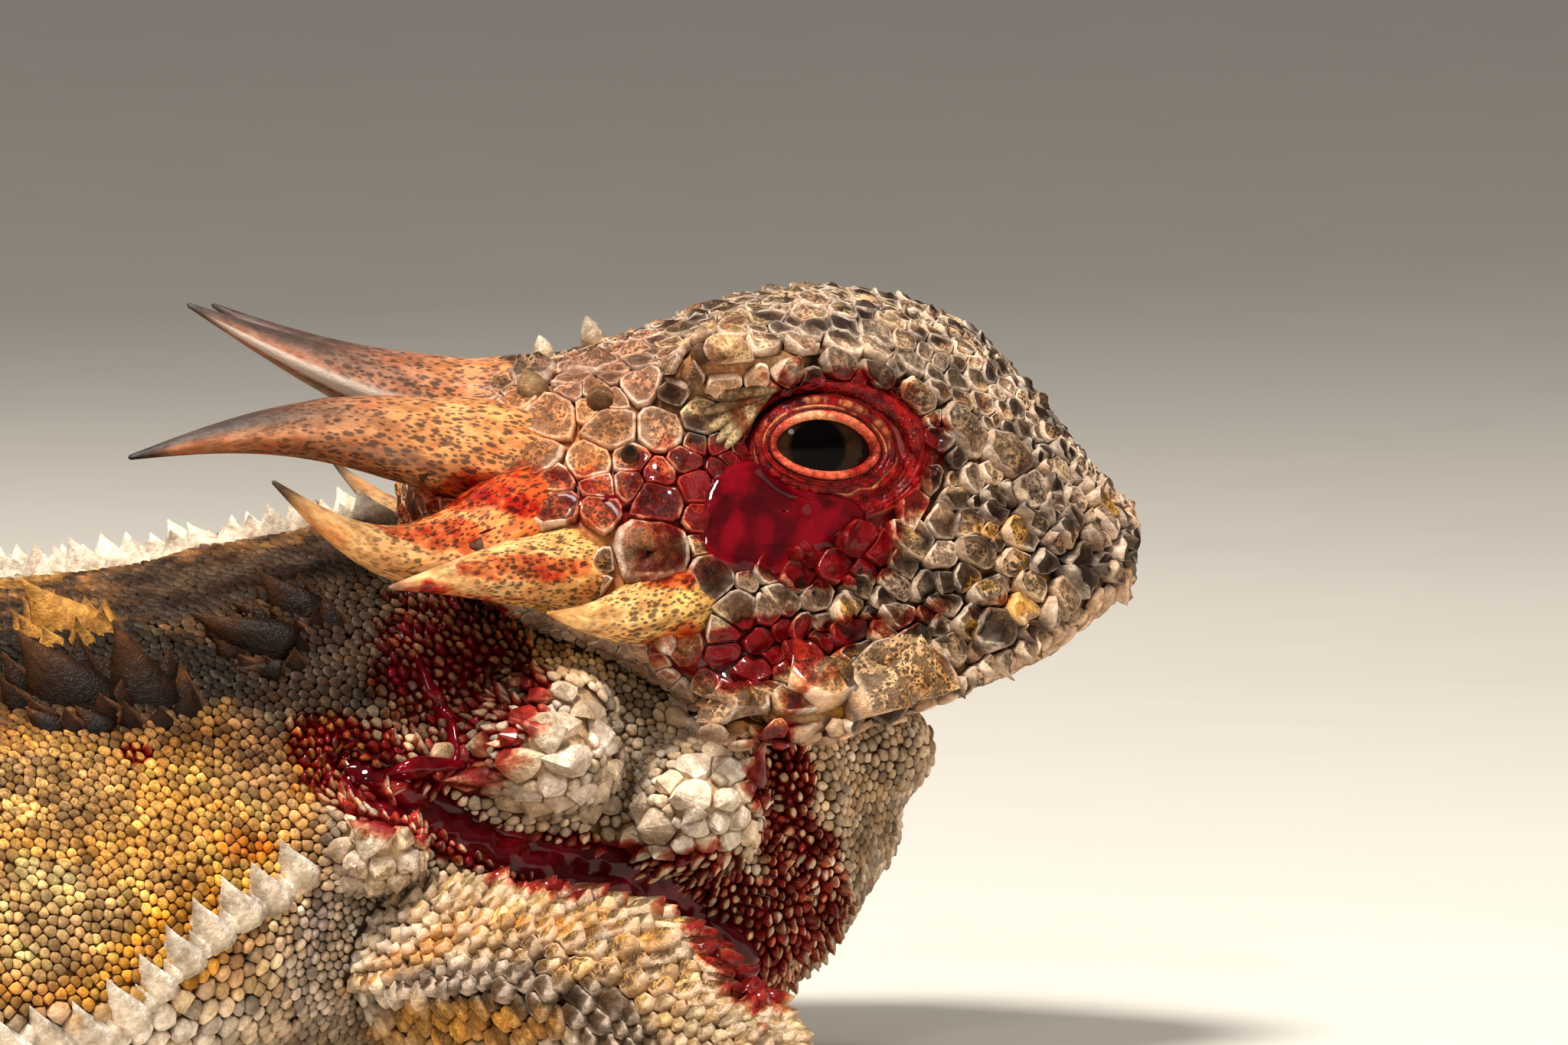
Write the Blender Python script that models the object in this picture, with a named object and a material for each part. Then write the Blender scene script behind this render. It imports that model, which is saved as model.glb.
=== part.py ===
"""A regal horned lizard at life size, resting on its belly with its head raised.

The animal faces +X, its right side is towards -Y and +Z is up. It is modelled in millimetres,
with X measured from the tip of the snout, and turned into metres as the last step.
"""
import math

import bmesh
import bpy
from mathutils import Matrix, Vector

MM = 0.001
GAP = 0.3
CUT_MERGE = 0.0001
SIDES = {"right": -1, "left": 1}

# Driving dimensions, in millimetres.
NECK_END_X = -22.6
TRUNK_END_X = -92.0
TAIL_SPLIT_X = -113.0
EYE_CENTRE = (-11.0, 6.1, 20.6)
EYE_RADIUS = 2.9
JAW_HINGE_X = -15.4
MOUTH_FRONT_Z = 17.1
MOUTH_SLOPE = 0.255
# The tail sweeps to the left from here, by this much for each squared millimetre.
SWAY_START_X = -80.0
SWAY_RATE = 0.0034
# How far each wrist and ankle is set forward of its place in the tables of joints.
ARM_STRIDE = {"right": 0.0, "left": -8.0}
LEG_STRIDE = {"right": 0.0, "left": 4.5}

# Body stations: x, half width, top, height of the widest line, bottom.
BODY_STATIONS = (
    (-8.4, 2.6, 10.7, 8.1, 6.2),
    (-9.6, 5.8, 13.1, 7.4, 4.0),
    (-12.5, 8.8, 15.7, 6.9, 1.6),
    (-17.0, 10.6, 18.2, 7.4, 0.4),
    (-21.0, 12.0, 19.0, 7.4, -0.2),
    (-25.0, 14.6, 18.4, 6.5, -0.3),
    (-30.0, 19.6, 17.4, 4.3, -0.3),
    (-37.0, 24.4, 16.3, 2.8, -0.3),
    (-50.0, 28.6, 16.7, 2.5, -0.3),
    (-63.0, 29.2, 16.5, 2.5, -0.3),
    (-75.0, 25.0, 14.5, 2.6, -0.3),
    (-85.0, 17.4, 11.9, 2.9, -0.3),
    (-94.0, 9.6, 9.0, 3.1, -0.3),
    (-102.0, 6.7, 6.8, 2.8, -0.25),
    (-112.0, 4.5, 4.8, 2.1, -0.2),
    (-124.0, 2.4, 2.8, 1.1, -0.2),
    (-136.5, 0.7, 1.0, 0.4, -0.15),
)
# How square the body's cross-section is: along its width, over its back, under its belly.
WIDTH_POWER, BACK_POWER, BELLY_POWER = 0.86, 1.15, 0.7
# Head stations: x, crown height, brow half width and height, cheek half width and height,
# jaw half width and height, throat height.
HEAD_STATIONS = (
    (0.3, 18.4, 1.5, 18.1, 2.3, 17.3, 2.0, 16.3, 16.1),
    (-0.9, 19.3, 2.8, 18.7, 4.1, 17.3, 3.9, 15.4, 15.1),
    (-2.8, 22.0, 4.2, 19.6, 5.7, 17.4, 5.9, 14.1, 13.6),
    (-5.4, 24.6, 5.5, 21.0, 7.0, 17.5, 7.8, 13.2, 12.6),
    (-8.0, 25.5, 6.8, 22.6, 7.9, 17.3, 9.0, 12.7, 11.9),
    (-10.5, 25.8, 7.8, 23.4, 9.0, 17.0, 10.4, 12.2, 11.7),
    (-13.0, 25.5, 8.1, 23.6, 10.2, 16.9, 11.3, 11.8, 11.6),
    (-16.0, 24.4, 8.0, 23.0, 11.2, 17.4, 10.4, 13.9, 12.9),
    (-19.0, 23.5, 7.6, 22.4, 11.4, 17.8, 9.8, 15.1, 14.1),
    (-22.0, 22.8, 6.2, 21.8, 9.4, 18.4, 8.0, 16.1, 15.1),
    (-24.0, 21.8, 3.6, 21.0, 5.6, 19.1, 4.6, 17.4, 16.7),
)
# Ridges along the head of one side: x, y, z and radius.
BROW_RIDGE = ((-4.9, 5.4, 19.0, 0.45), (-6.8, 6.2, 20.8, 0.8), (-9.4, 7.5, 22.5, 0.85),
              (-12.2, 8.2, 23.1, 0.9), (-14.2, 8.7, 23.3, 0.95), (-15.2, 9.3, 23.1, 0.4))
JAW_SHELF = ((-1.6, 4.2, 15.1, 0.35), (-6.0, 8.2, 13.0, 0.7), (-10.5, 11.0, 11.9, 0.9),
             (-12.8, 12.0, 11.7, 0.9), (-14.4, 12.7, 11.8, 0.35))
# Horns of one side: name, base point, tip, upward bow of the curve, base radius.
HORNS = (
    ("occipital_inner", (-20.4, 3.3, 21.6), (-31.0, 5.6, 25.3), -0.5, 1.75),
    ("occipital_outer", (-21.0, 7.4, 20.3), (-32.4, 12.2, 20.4), 0.9, 1.75),
    ("temporal_upper", (-20.4, 9.6, 18.1), (-27.5, 16.8, 19.7), -1.5, 1.55),
    ("temporal_middle", (-18.4, 10.0, 16.7), (-23.8, 17.4, 16.4), 0.1, 1.4),
    ("temporal_lower", (-15.2, 10.4, 15.6), (-18.9, 15.2, 15.5), -0.3, 1.25),
)
# A horn's radius, as a share of its base radius, at shares of its length.
HORN_TAPER = ((0.0, 1.0), (0.28, 0.82), (0.52, 0.56), (0.76, 0.3), (1.0, 0.05))
# Raised folds of the neck and shoulder on one side: centre and radii.
FOLDS = (
    ((-18.9, 11.4, 11.2), (2.7, 2.3, 2.5)),
    ((-14.2, 10.0, 9.0), (2.6, 2.2, 2.3)),
    ((-24.6, 15.0, 8.3), (2.0, 2.0, 1.8)),
)
THROAT = ((-6.4, 0.0, 14.0, 2.6), (-9.6, 0.0, 12.2, 4.7), (-14.0, 0.0, 11.5, 7.0))
# The fold of loose skin across the base of the throat: centre and radii.
THROAT_FOLD = ((-10.1, 2.2, 7.7), (2.8, 6.4, 2.5))
# Limb joints of one side: x, y, z and radius, from shoulder to wrist and hip to ankle.
FORELIMB = ((-22.5, 13.4, 3.9, 3.0), (-18.5, 19.0, 3.7, 3.4), (-14.8, 23.3, 2.9, 3.1),
            (-12.9, 26.8, 2.1, 2.2), (-11.6, 30.2, 1.4, 1.5))
HINDLIMB = ((-86.0, 11.0, 5.0, 4.5), (-79.0, 19.5, 4.4, 4.3), (-73.6, 26.5, 3.6, 3.3),
            (-80.0, 29.2, 2.6, 2.5), (-87.0, 31.2, 1.6, 1.7))
ELBOW_OR_KNEE = 2
# Palm of a hand and sole of a foot: forward and outward step from the last joint, and radii.
PALM = ((0.8, 1.4), (1.9, 1.7, 0.95))
SOLE = ((0.9, 1.6), (2.4, 1.8, 1.0))
PALM_HEIGHT, DIGIT_HEIGHT = 0.75, 0.5
# Digits of one side: heading in degrees, from straight ahead outwards, and length.
FINGERS = ((-6.0, 3.0), (16.0, 4.4), (36.0, 5.2), (58.0, 4.8), (84.0, 3.2))
TOES = ((2.0, 3.0), (16.0, 4.6), (30.0, 6.2), (46.0, 7.6), (74.0, 4.2))
CLAW_LENGTH = 1.3
# Spines of the trunk: a fringe along each side, and rows over the back, each at a share
# of the half width and with its spines' rise.
FRINGE_FRONT_X, FRINGE_BACK_X, FRINGE_COUNT = -28.0, -87.0, 23
SPINE_ROWS = ((0.15, 1.1), (0.42, 1.8), (0.68, 1.7))
SPINE_FRONT_X, SPINE_BACK_X, SPINE_STEP = -31.0, -86.0, 8.4
SPINE_SINK, SPINE_TIP_RADIUS = 0.36, 0.04

SKIN = ("lizard_skin", (0.55, 0.42, 0.28, 1.0), 0.75)
HORN = ("horn_keratin", (0.58, 0.40, 0.22, 1.0), 0.4)
EYE = ("eye_cornea", (0.03, 0.015, 0.01, 1.0), 0.08)


# ---------------------------------------------------------------- mesh tools
def clear_scene():
    for obj in list(bpy.data.objects):
        bpy.data.objects.remove(obj)


def material(name, colour, roughness):
    found = bpy.data.materials.get(name)
    if found:
        return found
    made = bpy.data.materials.new(name)
    made.use_nodes = True
    shader = made.node_tree.nodes["Principled BSDF"]
    shader.inputs["Base Color"].default_value = colour
    shader.inputs["Roughness"].default_value = roughness
    shader.inputs["Metallic"].default_value = 0.0
    return made


def mesh_object(name, bm, finish):
    """The object that holds bm."""
    bmesh.ops.recalc_face_normals(bm, faces=bm.faces)
    mesh = bpy.data.meshes.new(name)
    bm.to_mesh(mesh)
    bm.free()
    mesh.shade_smooth()
    mesh.materials.append(material(*finish))
    obj = bpy.data.objects.new(name, mesh)
    bpy.context.scene.collection.objects.link(obj)
    return obj


def duplicate(obj, name):
    copy = obj.copy()
    copy.data = obj.data.copy()
    copy.name = name
    bpy.context.scene.collection.objects.link(copy)
    return copy


def grown(obj):
    """A copy of obj with its surface moved out by the gap, to cut clearance for obj."""
    copy = duplicate(obj, "clearance")
    bm = bmesh.new()
    bm.from_mesh(copy.data)
    bm.normal_update()
    for vert in bm.verts:
        vert.co += vert.normal * GAP
    bm.to_mesh(copy.data)
    bm.free()
    return copy


def boolean(obj, other, operation):
    """Applies one Boolean to obj and removes the other object.

    The manifold solver keeps every result closed. The exact one leaves open edges where
    the thin slivers beside a clearance meet.
    """
    modifier = obj.modifiers.new(operation.lower(), "BOOLEAN")
    modifier.operation = operation
    modifier.solver = "MANIFOLD"
    modifier.object = other
    graph = bpy.context.evaluated_depsgraph_get()
    mesh = bpy.data.meshes.new_from_object(obj.evaluated_get(graph))
    obj.modifiers.clear()
    obj.data = mesh
    bpy.data.objects.remove(other)


def sliced(obj, point, normal):
    """Cuts away what lies on the normal's side of a plane and closes the cut flat."""
    bm = bmesh.new()
    bm.from_mesh(obj.data)
    cut = bmesh.ops.bisect_plane(
        bm, geom=[*bm.verts, *bm.edges, *bm.faces], dist=CUT_MERGE,
        plane_co=point, plane_no=Vector(normal).normalized(), clear_outer=True)
    edges = [e for e in cut["geom_cut"] if isinstance(e, bmesh.types.BMEdge)]
    if edges:
        bmesh.ops.holes_fill(bm, edges=edges, sides=0)
    bm.to_mesh(obj.data)
    bm.free()


def kept_between(obj, high_x, low_x):
    """Keeps the stretch of obj between two planes square to X, half a gap inside each."""
    sliced(obj, (high_x - GAP / 2, 0, 0), (1, 0, 0))
    sliced(obj, (low_x + GAP / 2, 0, 0), (-1, 0, 0))


def stood(obj):
    """Cuts obj flat at floor level."""
    sliced(obj, (0, 0, 0), (0, 0, -1))


def connected(faces):
    """The groups of faces that hang together, from the smallest group to the largest."""
    unseen, groups = set(faces), []
    while unseen:
        stack, group = [unseen.pop()], []
        while stack:
            face = stack.pop()
            group.append(face)
            for edge in face.edges:
                for other in edge.link_faces:
                    if other in unseen:
                        unseen.discard(other)
                        stack.append(other)
        groups.append(group)
    return sorted(groups, key=len)


def without_crumbs(obj):
    """Keeps only the largest connected body of obj."""
    bm = bmesh.new()
    bm.from_mesh(obj.data)
    for group in connected(bm.faces)[:-1]:
        bmesh.ops.delete(bm, geom=group, context="FACES")
    bm.to_mesh(obj.data)
    bm.free()


# ---------------------------------------------------------------- shapes
def smooth_rows(rows, steps):
    """Catmull-Rom rows through the given rows of numbers, with steps between each pair."""
    padded = [rows[0], *rows, rows[-1]]
    made = []
    for k in range(len(rows) - 1):
        before, start, end, after = padded[k:k + 4]
        for step in range(steps):
            t = step / steps
            made.append([
                0.5 * (2 * b + (c - a) * t + (2 * a - 5 * b + 4 * c - d) * t * t
                       + (3 * b - a - 3 * c + d) * t ** 3)
                for a, b, c, d in zip(before, start, end, after)
            ])
    made.append(list(rows[-1]))
    return made


def loft(name, rings, finish):
    """A closed skin over rings of points, each ring with as many points as the next."""
    bm = bmesh.new()
    rows = [[bm.verts.new(point) for point in ring] for ring in rings]
    count = len(rings[0])
    for row, following in zip(rows, rows[1:]):
        for i in range(count):
            j = (i + 1) % count
            bm.faces.new((row[i], row[j], following[j], following[i]))
    bm.faces.new(rows[0][::-1])
    bm.faces.new(rows[-1])
    return mesh_object(name, bm, finish)


def tube(name, joints, finish, sides, steps=2, domed=True):
    """Round rings square to a smooth curve through joints of x, y, z and radius."""
    rows = smooth_rows(joints, steps)
    if domed:
        first, second = Vector(rows[0][:3]), Vector(rows[1][:3])
        last, previous = Vector(rows[-1][:3]), Vector(rows[-2][:3])
        root = first + (first - second).normalized() * rows[0][3] * 0.6
        end = last + (last - previous).normalized() * rows[-1][3] * 0.6
        rows = [[*root, rows[0][3] * 0.5], *rows, [*end, rows[-1][3] * 0.5]]
    centres = [Vector(row[:3]) for row in rows]
    rings = []
    for i, centre in enumerate(centres):
        along = centres[min(i + 1, len(rows) - 1)] - centres[max(i - 1, 0)]
        across = along.cross(Vector((0, 0, 1))).normalized() * rows[i][3]
        rise = across.cross(along).normalized() * rows[i][3]
        turns = [2 * math.pi * k / sides for k in range(sides)]
        rings.append([centre + across * math.cos(a) + rise * math.sin(a) for a in turns])
    return loft(name, rings, finish)


def ellipsoid(name, centre, radii, finish, segments=10, rings=7):
    bm = bmesh.new()
    bmesh.ops.create_uvsphere(bm, u_segments=segments, v_segments=rings, radius=1.0)
    bmesh.ops.transform(bm, matrix=Matrix.Diagonal((*radii, 1.0)), verts=bm.verts)
    bmesh.ops.translate(bm, vec=centre, verts=bm.verts)
    return mesh_object(name, bm, finish)


def mirrored(point, side):
    """The point on the given side, with any numbers after its x, y and z kept."""
    return (point[0], point[1] * side, *point[2:])


# ---------------------------------------------------------------- trunk and tail
def midline_y(x):
    """How far the body's midline has swayed to the left at x."""
    return SWAY_RATE * min(x - SWAY_START_X, 0) ** 2


def body_ring(x, half_width, top, side, bottom, count=18):
    """One cross-section: a dome over the widest line and a flattened belly under it."""
    ring = []
    for k in range(count):
        turn = 2 * math.pi * k / count
        c, s = math.cos(turn), math.sin(turn)
        if s >= 0:
            z = side + (top - side) * s ** BACK_POWER
        else:
            z = side - (side - bottom) * (-s) ** BELLY_POWER
        y = midline_y(x) + half_width * math.copysign(abs(c) ** WIDTH_POWER, c)
        ring.append((x, y, z))
    return ring


def body_station(x):
    """Half width, top, height of the widest line and bottom of the body at x."""
    fine = smooth_rows(BODY_STATIONS, 6)
    for start, end in zip(fine, fine[1:]):
        if end[0] <= x <= start[0]:
            t = (x - start[0]) / (end[0] - start[0])
            return [a + (b - a) * t for a, b in zip(start[1:], end[1:])]
    raise ValueError(f"no body at {x}")


def back_point(x, share):
    """The point of the back at x, at a share of the half width, from -1 to 1."""
    half_width, top, side, _ = body_station(x)
    cosine = abs(share) ** (1 / WIDTH_POWER)
    rise = math.sqrt(1 - cosine * cosine) ** BACK_POWER
    return Vector((x, midline_y(x) + half_width * share, side + (top - side) * rise))


def add_spine(bm, root, lean, radius, corners):
    """Adds a faceted spine whose foot is sunk in the skin at root."""
    turn = lean.to_track_quat("Z", "Y").to_matrix().to_4x4()
    length = lean.length * (1 + SPINE_SINK)
    matrix = Matrix.Translation(root + lean * (1 - SPINE_SINK) / 2) @ turn
    bmesh.ops.create_cone(bm, cap_ends=True, segments=corners, radius1=radius,
                          radius2=SPINE_TIP_RADIUS, depth=length, matrix=matrix)


def fringe_and_spines(name):
    """The fringe along both sides and the rows of spines over the back."""
    bm = bmesh.new()
    for side in SIDES.values():
        pitch = (FRINGE_BACK_X - FRINGE_FRONT_X) / (FRINGE_COUNT - 1)
        for k in range(FRINGE_COUNT):
            x = FRINGE_FRONT_X + pitch * k
            half_width, _, height, _ = body_station(x)
            root = Vector((x, midline_y(x) + side * (half_width - 0.5), height + 0.3))
            add_spine(bm, root, Vector((-1.1, side * 2.4, 0.9)), 1.0, corners=4)
        for row, (share, rise) in enumerate(SPINE_ROWS):
            x = SPINE_FRONT_X - SPINE_STEP / 2 * (row % 2)
            while x > SPINE_BACK_X:
                lean = Vector((-1.2, side * share, rise))
                add_spine(bm, back_point(x, side * share), lean, 1.1, corners=3)
                x -= SPINE_STEP
    return mesh_object(name, bm, SKIN)


def build_torso(head_clearances, limb_clearances):
    """Neck, trunk and tail, parted by thin cuts and cleared from the head and the limbs."""
    rings = [body_ring(*row) for row in smooth_rows(BODY_STATIONS, 2)]
    trunk = loft("trunk", rings, SKIN)
    boolean(trunk, tube("throat", THROAT, SKIN, sides=12), "UNION")
    folds = [(mirrored(centre, side), radii) for side in SIDES.values() for centre, radii in FOLDS]
    for centre, radii in [THROAT_FOLD, *folds]:
        boolean(trunk, ellipsoid("fold", centre, radii, SKIN, segments=9, rings=6), "UNION")
    spines = fringe_and_spines("spines")
    for clearance in head_clearances:
        boolean(trunk, clearance, "DIFFERENCE")
    for clearance in limb_clearances:
        boolean(spines, duplicate(clearance, "spine_clearance"), "DIFFERENCE")
        boolean(trunk, clearance, "DIFFERENCE")
    without_crumbs(trunk)
    front_x, back_x = BODY_STATIONS[0][0] + 10, BODY_STATIONS[-1][0] - 10
    cuts = (front_x, NECK_END_X, TRUNK_END_X, TAIL_SPLIT_X, back_x)
    names = ("neck", "trunk", "tail_base", "tail_tip")
    pieces = [trunk if name == "trunk" else duplicate(trunk, name) for name in names]
    for piece, high_x, low_x in zip(pieces, cuts, cuts[1:]):
        kept_between(piece, high_x, low_x)
        stood(piece)
        without_crumbs(piece)
    boolean(trunk, spines, "UNION")
    without_crumbs(trunk)


# ---------------------------------------------------------------- head
def head_ring(x, crown, brow, brow_z, cheek, cheek_z, jaw, jaw_z, throat):
    """One cross-section of the head, from the crown round by the right to the throat."""
    half = [
        (0.0, crown),
        (brow * 0.6, brow_z * 0.25 + crown * 0.75),
        (brow, brow_z),
        (brow * 0.5 + cheek * 0.5, brow_z * 0.5 + cheek_z * 0.5),
        (cheek, cheek_z),
        ((cheek + jaw) / 2 + 0.1, (cheek_z + jaw_z) / 2),
        (jaw, jaw_z),
        (jaw * 0.7, jaw_z * 0.3 + throat * 0.7),
        (jaw * 0.35, throat),
    ]
    right = [(x, -y, z) for y, z in half]
    left = [(x, y, z) for y, z in reversed(half[1:])]
    return [*right, (x, 0.0, throat), *left]


def build_horn(label, side, title, base, tip, bow, radius):
    """A tapering horn, bowed up or down along its length."""
    root, end = Vector(mirrored(base, side)), Vector(mirrored(tip, side))
    joints = []
    for share, width in HORN_TAPER:
        lift = Vector((0, 0, bow * math.sin(math.pi * share)))
        joints.append((*(root.lerp(end, share) + lift), radius * width))
    return tube(f"horn_{title}_{label}", joints, HORN, sides=8, steps=1, domed=False)


def build_horns():
    """The five horns of each side, parted where their feet meet. Returns their clearances."""
    clearances = []
    for label, side in SIDES.items():
        row = []
        for spec in HORNS:
            horn = build_horn(label, side, *spec)
            clearance = grown(horn)
            for earlier in row:
                boolean(horn, duplicate(earlier, "foot"), "DIFFERENCE")
            row.append(clearance)
        clearances += row
    return clearances


def build_eyes():
    """The two eyeballs. Returns the sockets that they need."""
    eyes = [ellipsoid("eye_" + label, mirrored(EYE_CENTRE, side), (EYE_RADIUS,) * 3, EYE)
            for label, side in SIDES.items()]
    return [grown(eye) for eye in eyes]


def mouth_block(name):
    """The space of the lower jaw: below the mouth and in front of the jaw's hinge."""
    bm = bmesh.new()
    bmesh.ops.create_cube(bm, size=1.0)
    length, reach, depth = 30.0, 40.0, 12.0
    bmesh.ops.scale(bm, vec=(length, reach, depth), verts=bm.verts)
    bmesh.ops.translate(bm, vec=(length / 2, 0, -depth / 2), verts=bm.verts)
    slant = Matrix.Rotation(-math.atan(MOUTH_SLOPE), 4, "Y")
    bmesh.ops.transform(bm, matrix=slant, verts=bm.verts)
    corner_z = MOUTH_FRONT_Z + MOUTH_SLOPE * JAW_HINGE_X
    corner = (JAW_HINGE_X - GAP / 2, 0, corner_z + GAP / 2)
    bmesh.ops.translate(bm, vec=corner, verts=bm.verts)
    return mesh_object(name, bm, SKIN)


def build_head():
    """The head with its jaw, eyes and horns. Returns the clearances that the neck needs."""
    head = loft("head", [head_ring(*row) for row in smooth_rows(HEAD_STATIONS, 2)], SKIN)
    clearances = [grown(head)]
    for side in SIDES.values():
        for title, ridge in (("brow", BROW_RIDGE), ("shelf", JAW_SHELF)):
            joints = [mirrored(joint, side) for joint in ridge]
            rim = tube(title, joints, SKIN, sides=6, steps=1)
            clearances.append(grown(rim))
            boolean(head, rim, "UNION")
    for hollow in [*build_eyes(), *build_horns()]:
        boolean(head, hollow, "DIFFERENCE")
    jaw = duplicate(head, "jaw")
    up = Vector((-MOUTH_SLOPE, 0, 1))
    sliced(jaw, Vector((0, 0, MOUTH_FRONT_Z - GAP / 2)), up)
    sliced(jaw, (JAW_HINGE_X + GAP / 2, 0, 0), (-1, 0, 0))
    boolean(head, mouth_block("mouth"), "DIFFERENCE")
    without_crumbs(head)
    without_crumbs(jaw)
    return clearances


# ---------------------------------------------------------------- limbs
def build_digit(start, heading, length, side):
    """A digit with a raised knuckle, ending in a claw that curves down to the floor."""
    turn = math.radians(heading)
    ahead = Vector((math.cos(turn), side * math.sin(turn), 0))
    profile = ((0.0, 0.0, 0.62), (length * 0.45, 0.35, 0.6), (length, 0.0, 0.52),
               (length + CLAW_LENGTH * 0.5, 0.1, 0.32), (length + CLAW_LENGTH, -0.35, 0.06))
    joints = [(*(start + ahead * reach + Vector((0, 0, lift))), radius)
              for reach, lift, radius in profile]
    return tube("digit", joints, SKIN, sides=5, steps=1, domed=False)


def build_extremity(name, last_joint, digits, shape, side):
    """A hand or foot: a flat palm with five clawed digits."""
    (ahead, outward), radii = shape
    centre = Vector((last_joint[0] + ahead, last_joint[1] + side * outward, PALM_HEIGHT))
    palm = ellipsoid(name, centre, radii, SKIN)
    for heading, length in digits:
        turn = math.radians(heading)
        reach = radii[0] * 0.7
        start = centre + Vector((math.cos(turn), side * math.sin(turn), 0)) * reach
        start.z = DIGIT_HEIGHT
        boolean(palm, build_digit(start, heading, length, side), "UNION")
    stood(palm)
    return palm


def build_limb(names, joints, digits, shape, side):
    """Upper part, lower part and hand or foot. Returns the clearances that the trunk needs."""
    upper = tube(names[0], joints[:ELBOW_OR_KNEE + 1], SKIN, sides=8)
    lower = tube(names[1], joints[ELBOW_OR_KNEE:], SKIN, sides=8)
    clearances = [grown(upper), grown(lower)]
    extremity = build_extremity(names[2], joints[-1], digits, shape, side)
    before, bend, after = (Vector(joints[ELBOW_OR_KNEE + k][:3]) for k in (-1, 0, 1))
    plane = ((bend - before).normalized() + (after - bend).normalized()).normalized()
    sliced(upper, bend - plane * GAP / 2, plane)
    sliced(lower, bend + plane * GAP / 2, -plane)
    boolean(lower, grown(extremity), "DIFFERENCE")
    for piece in (upper, lower):
        without_crumbs(piece)
        stood(piece)
    return clearances


def striding(joints, side, stride):
    """The joints on one side, each set forward by its share of the stride."""
    last = len(joints) - 1
    return [(joint[0] + stride * k / last, *mirrored(joint, side)[1:])
            for k, joint in enumerate(joints)]


def build_limbs():
    """The four limbs. Returns the clearances that the trunk needs."""
    clearances = []
    for label, side in SIDES.items():
        arm_names = [f"{part}_{label}" for part in ("upper_arm", "forearm", "hand")]
        leg_names = [f"{part}_{label}" for part in ("thigh", "shank", "foot")]
        arm = striding(FORELIMB, side, ARM_STRIDE[label])
        leg = striding(HINDLIMB, side, LEG_STRIDE[label])
        clearances += build_limb(arm_names, arm, FINGERS, PALM, side)
        clearances += build_limb(leg_names, leg, TOES, SOLE, side)
    return clearances


# ---------------------------------------------------------------- assembly
def centre_in_metres():
    """Puts the middle of the model's base at the origin and turns millimetres into metres."""
    points = [v.co for obj in bpy.data.objects for v in obj.data.vertices]
    low = [min(p[axis] for p in points) for axis in range(3)]
    high = [max(p[axis] for p in points) for axis in range(3)]
    shift = Vector(((low[0] + high[0]) / -2, (low[1] + high[1]) / -2, -low[2]))
    for obj in bpy.data.objects:
        obj.data.transform(Matrix.Scale(MM, 4) @ Matrix.Translation(shift))


clear_scene()
build_torso(build_head(), build_limbs())
centre_in_metres()
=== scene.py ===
"""The looks of a life-size regal horned lizard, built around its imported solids.

Everything is worked out in the lizard's own millimetres: X from the tip of the snout, negative
backwards, Y to its left, Z above the floor. Meshes are turned into metres as they are made.
"""

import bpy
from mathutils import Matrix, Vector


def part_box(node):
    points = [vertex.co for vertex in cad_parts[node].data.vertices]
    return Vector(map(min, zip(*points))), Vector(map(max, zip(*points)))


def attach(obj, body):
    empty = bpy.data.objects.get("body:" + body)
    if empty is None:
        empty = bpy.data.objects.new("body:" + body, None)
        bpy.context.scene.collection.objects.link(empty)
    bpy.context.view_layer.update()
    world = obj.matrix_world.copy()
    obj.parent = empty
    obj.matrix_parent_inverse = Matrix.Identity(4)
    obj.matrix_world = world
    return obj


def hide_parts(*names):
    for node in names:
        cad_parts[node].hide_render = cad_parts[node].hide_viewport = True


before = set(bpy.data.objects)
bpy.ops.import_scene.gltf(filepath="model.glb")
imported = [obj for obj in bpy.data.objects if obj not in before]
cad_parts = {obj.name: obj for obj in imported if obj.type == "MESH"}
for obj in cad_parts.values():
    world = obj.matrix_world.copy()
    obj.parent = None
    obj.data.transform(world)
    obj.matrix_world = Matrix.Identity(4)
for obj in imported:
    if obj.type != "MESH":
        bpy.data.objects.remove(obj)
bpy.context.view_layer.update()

import math

import bmesh
import bpy
import numpy as np
import openvdb
from mathutils import Vector, kdtree

# ---------------------------------------------------------------- sizes, in millimetres
MM = 0.001
SNOUT_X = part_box("head")[1].x / MM - 0.3
MIDDLE_Y = (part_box("head")[0].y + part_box("head")[1].y) / 2 / MM
ORIGIN = np.array((SNOUT_X, MIDDLE_Y, 0.0))
VOXEL = 0.28
FIELD_BAND = 8
SKIN_VOXEL = 0.49
COAT_DEPTH = 0.2
FIELD_LOW = np.array((-140.0, -43.0, -2.5))
FIELD_HIGH = np.array((4.0, 43.0, 29.0))
EYE_CENTRE = np.array((-11.0, 6.1, 20.6))
EYE_RADIUS = 2.9
# On the map that baking uses: a margin, and how far a scale's patch reaches from its middle.
MAP_EDGE, PATCH = 0.0005, 0.0015
SEED = 7

# The camera looks at the lizard's right side.
CAMERA_DISTANCE = 260.0
FRAME_WIDTH = 51.2
ELEVATION = math.radians(1.5)
TARGET = np.array((-11.4, -8.0, 18.2))
BACK = np.array((0.0, -math.cos(ELEVATION), math.sin(ELEVATION)))
UP = np.array((0.0, math.sin(ELEVATION), math.cos(ELEVATION)))
VIEWPOINT = TARGET + BACK * CAMERA_DISTANCE
# Places in the frame are in its pixels, from its upper left corner.
FRAME_PIXELS = (2048, 1365)
FRAME_MIDDLE = np.array(FRAME_PIXELS) / 2
PIXEL = FRAME_WIDTH / FRAME_PIXELS[0]

rng = np.random.default_rng(SEED)


def unit(v):
    """Vectors of length 1 along v."""
    return v / np.maximum(np.linalg.norm(v, axis=-1, keepdims=True), 1e-9)


def smooth(low, high, value):
    """0 below low, 1 above high, and a smooth rise between."""
    t = np.clip((value - low) / (high - low), 0, 1)
    return t * t * (3 - 2 * t)


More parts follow.
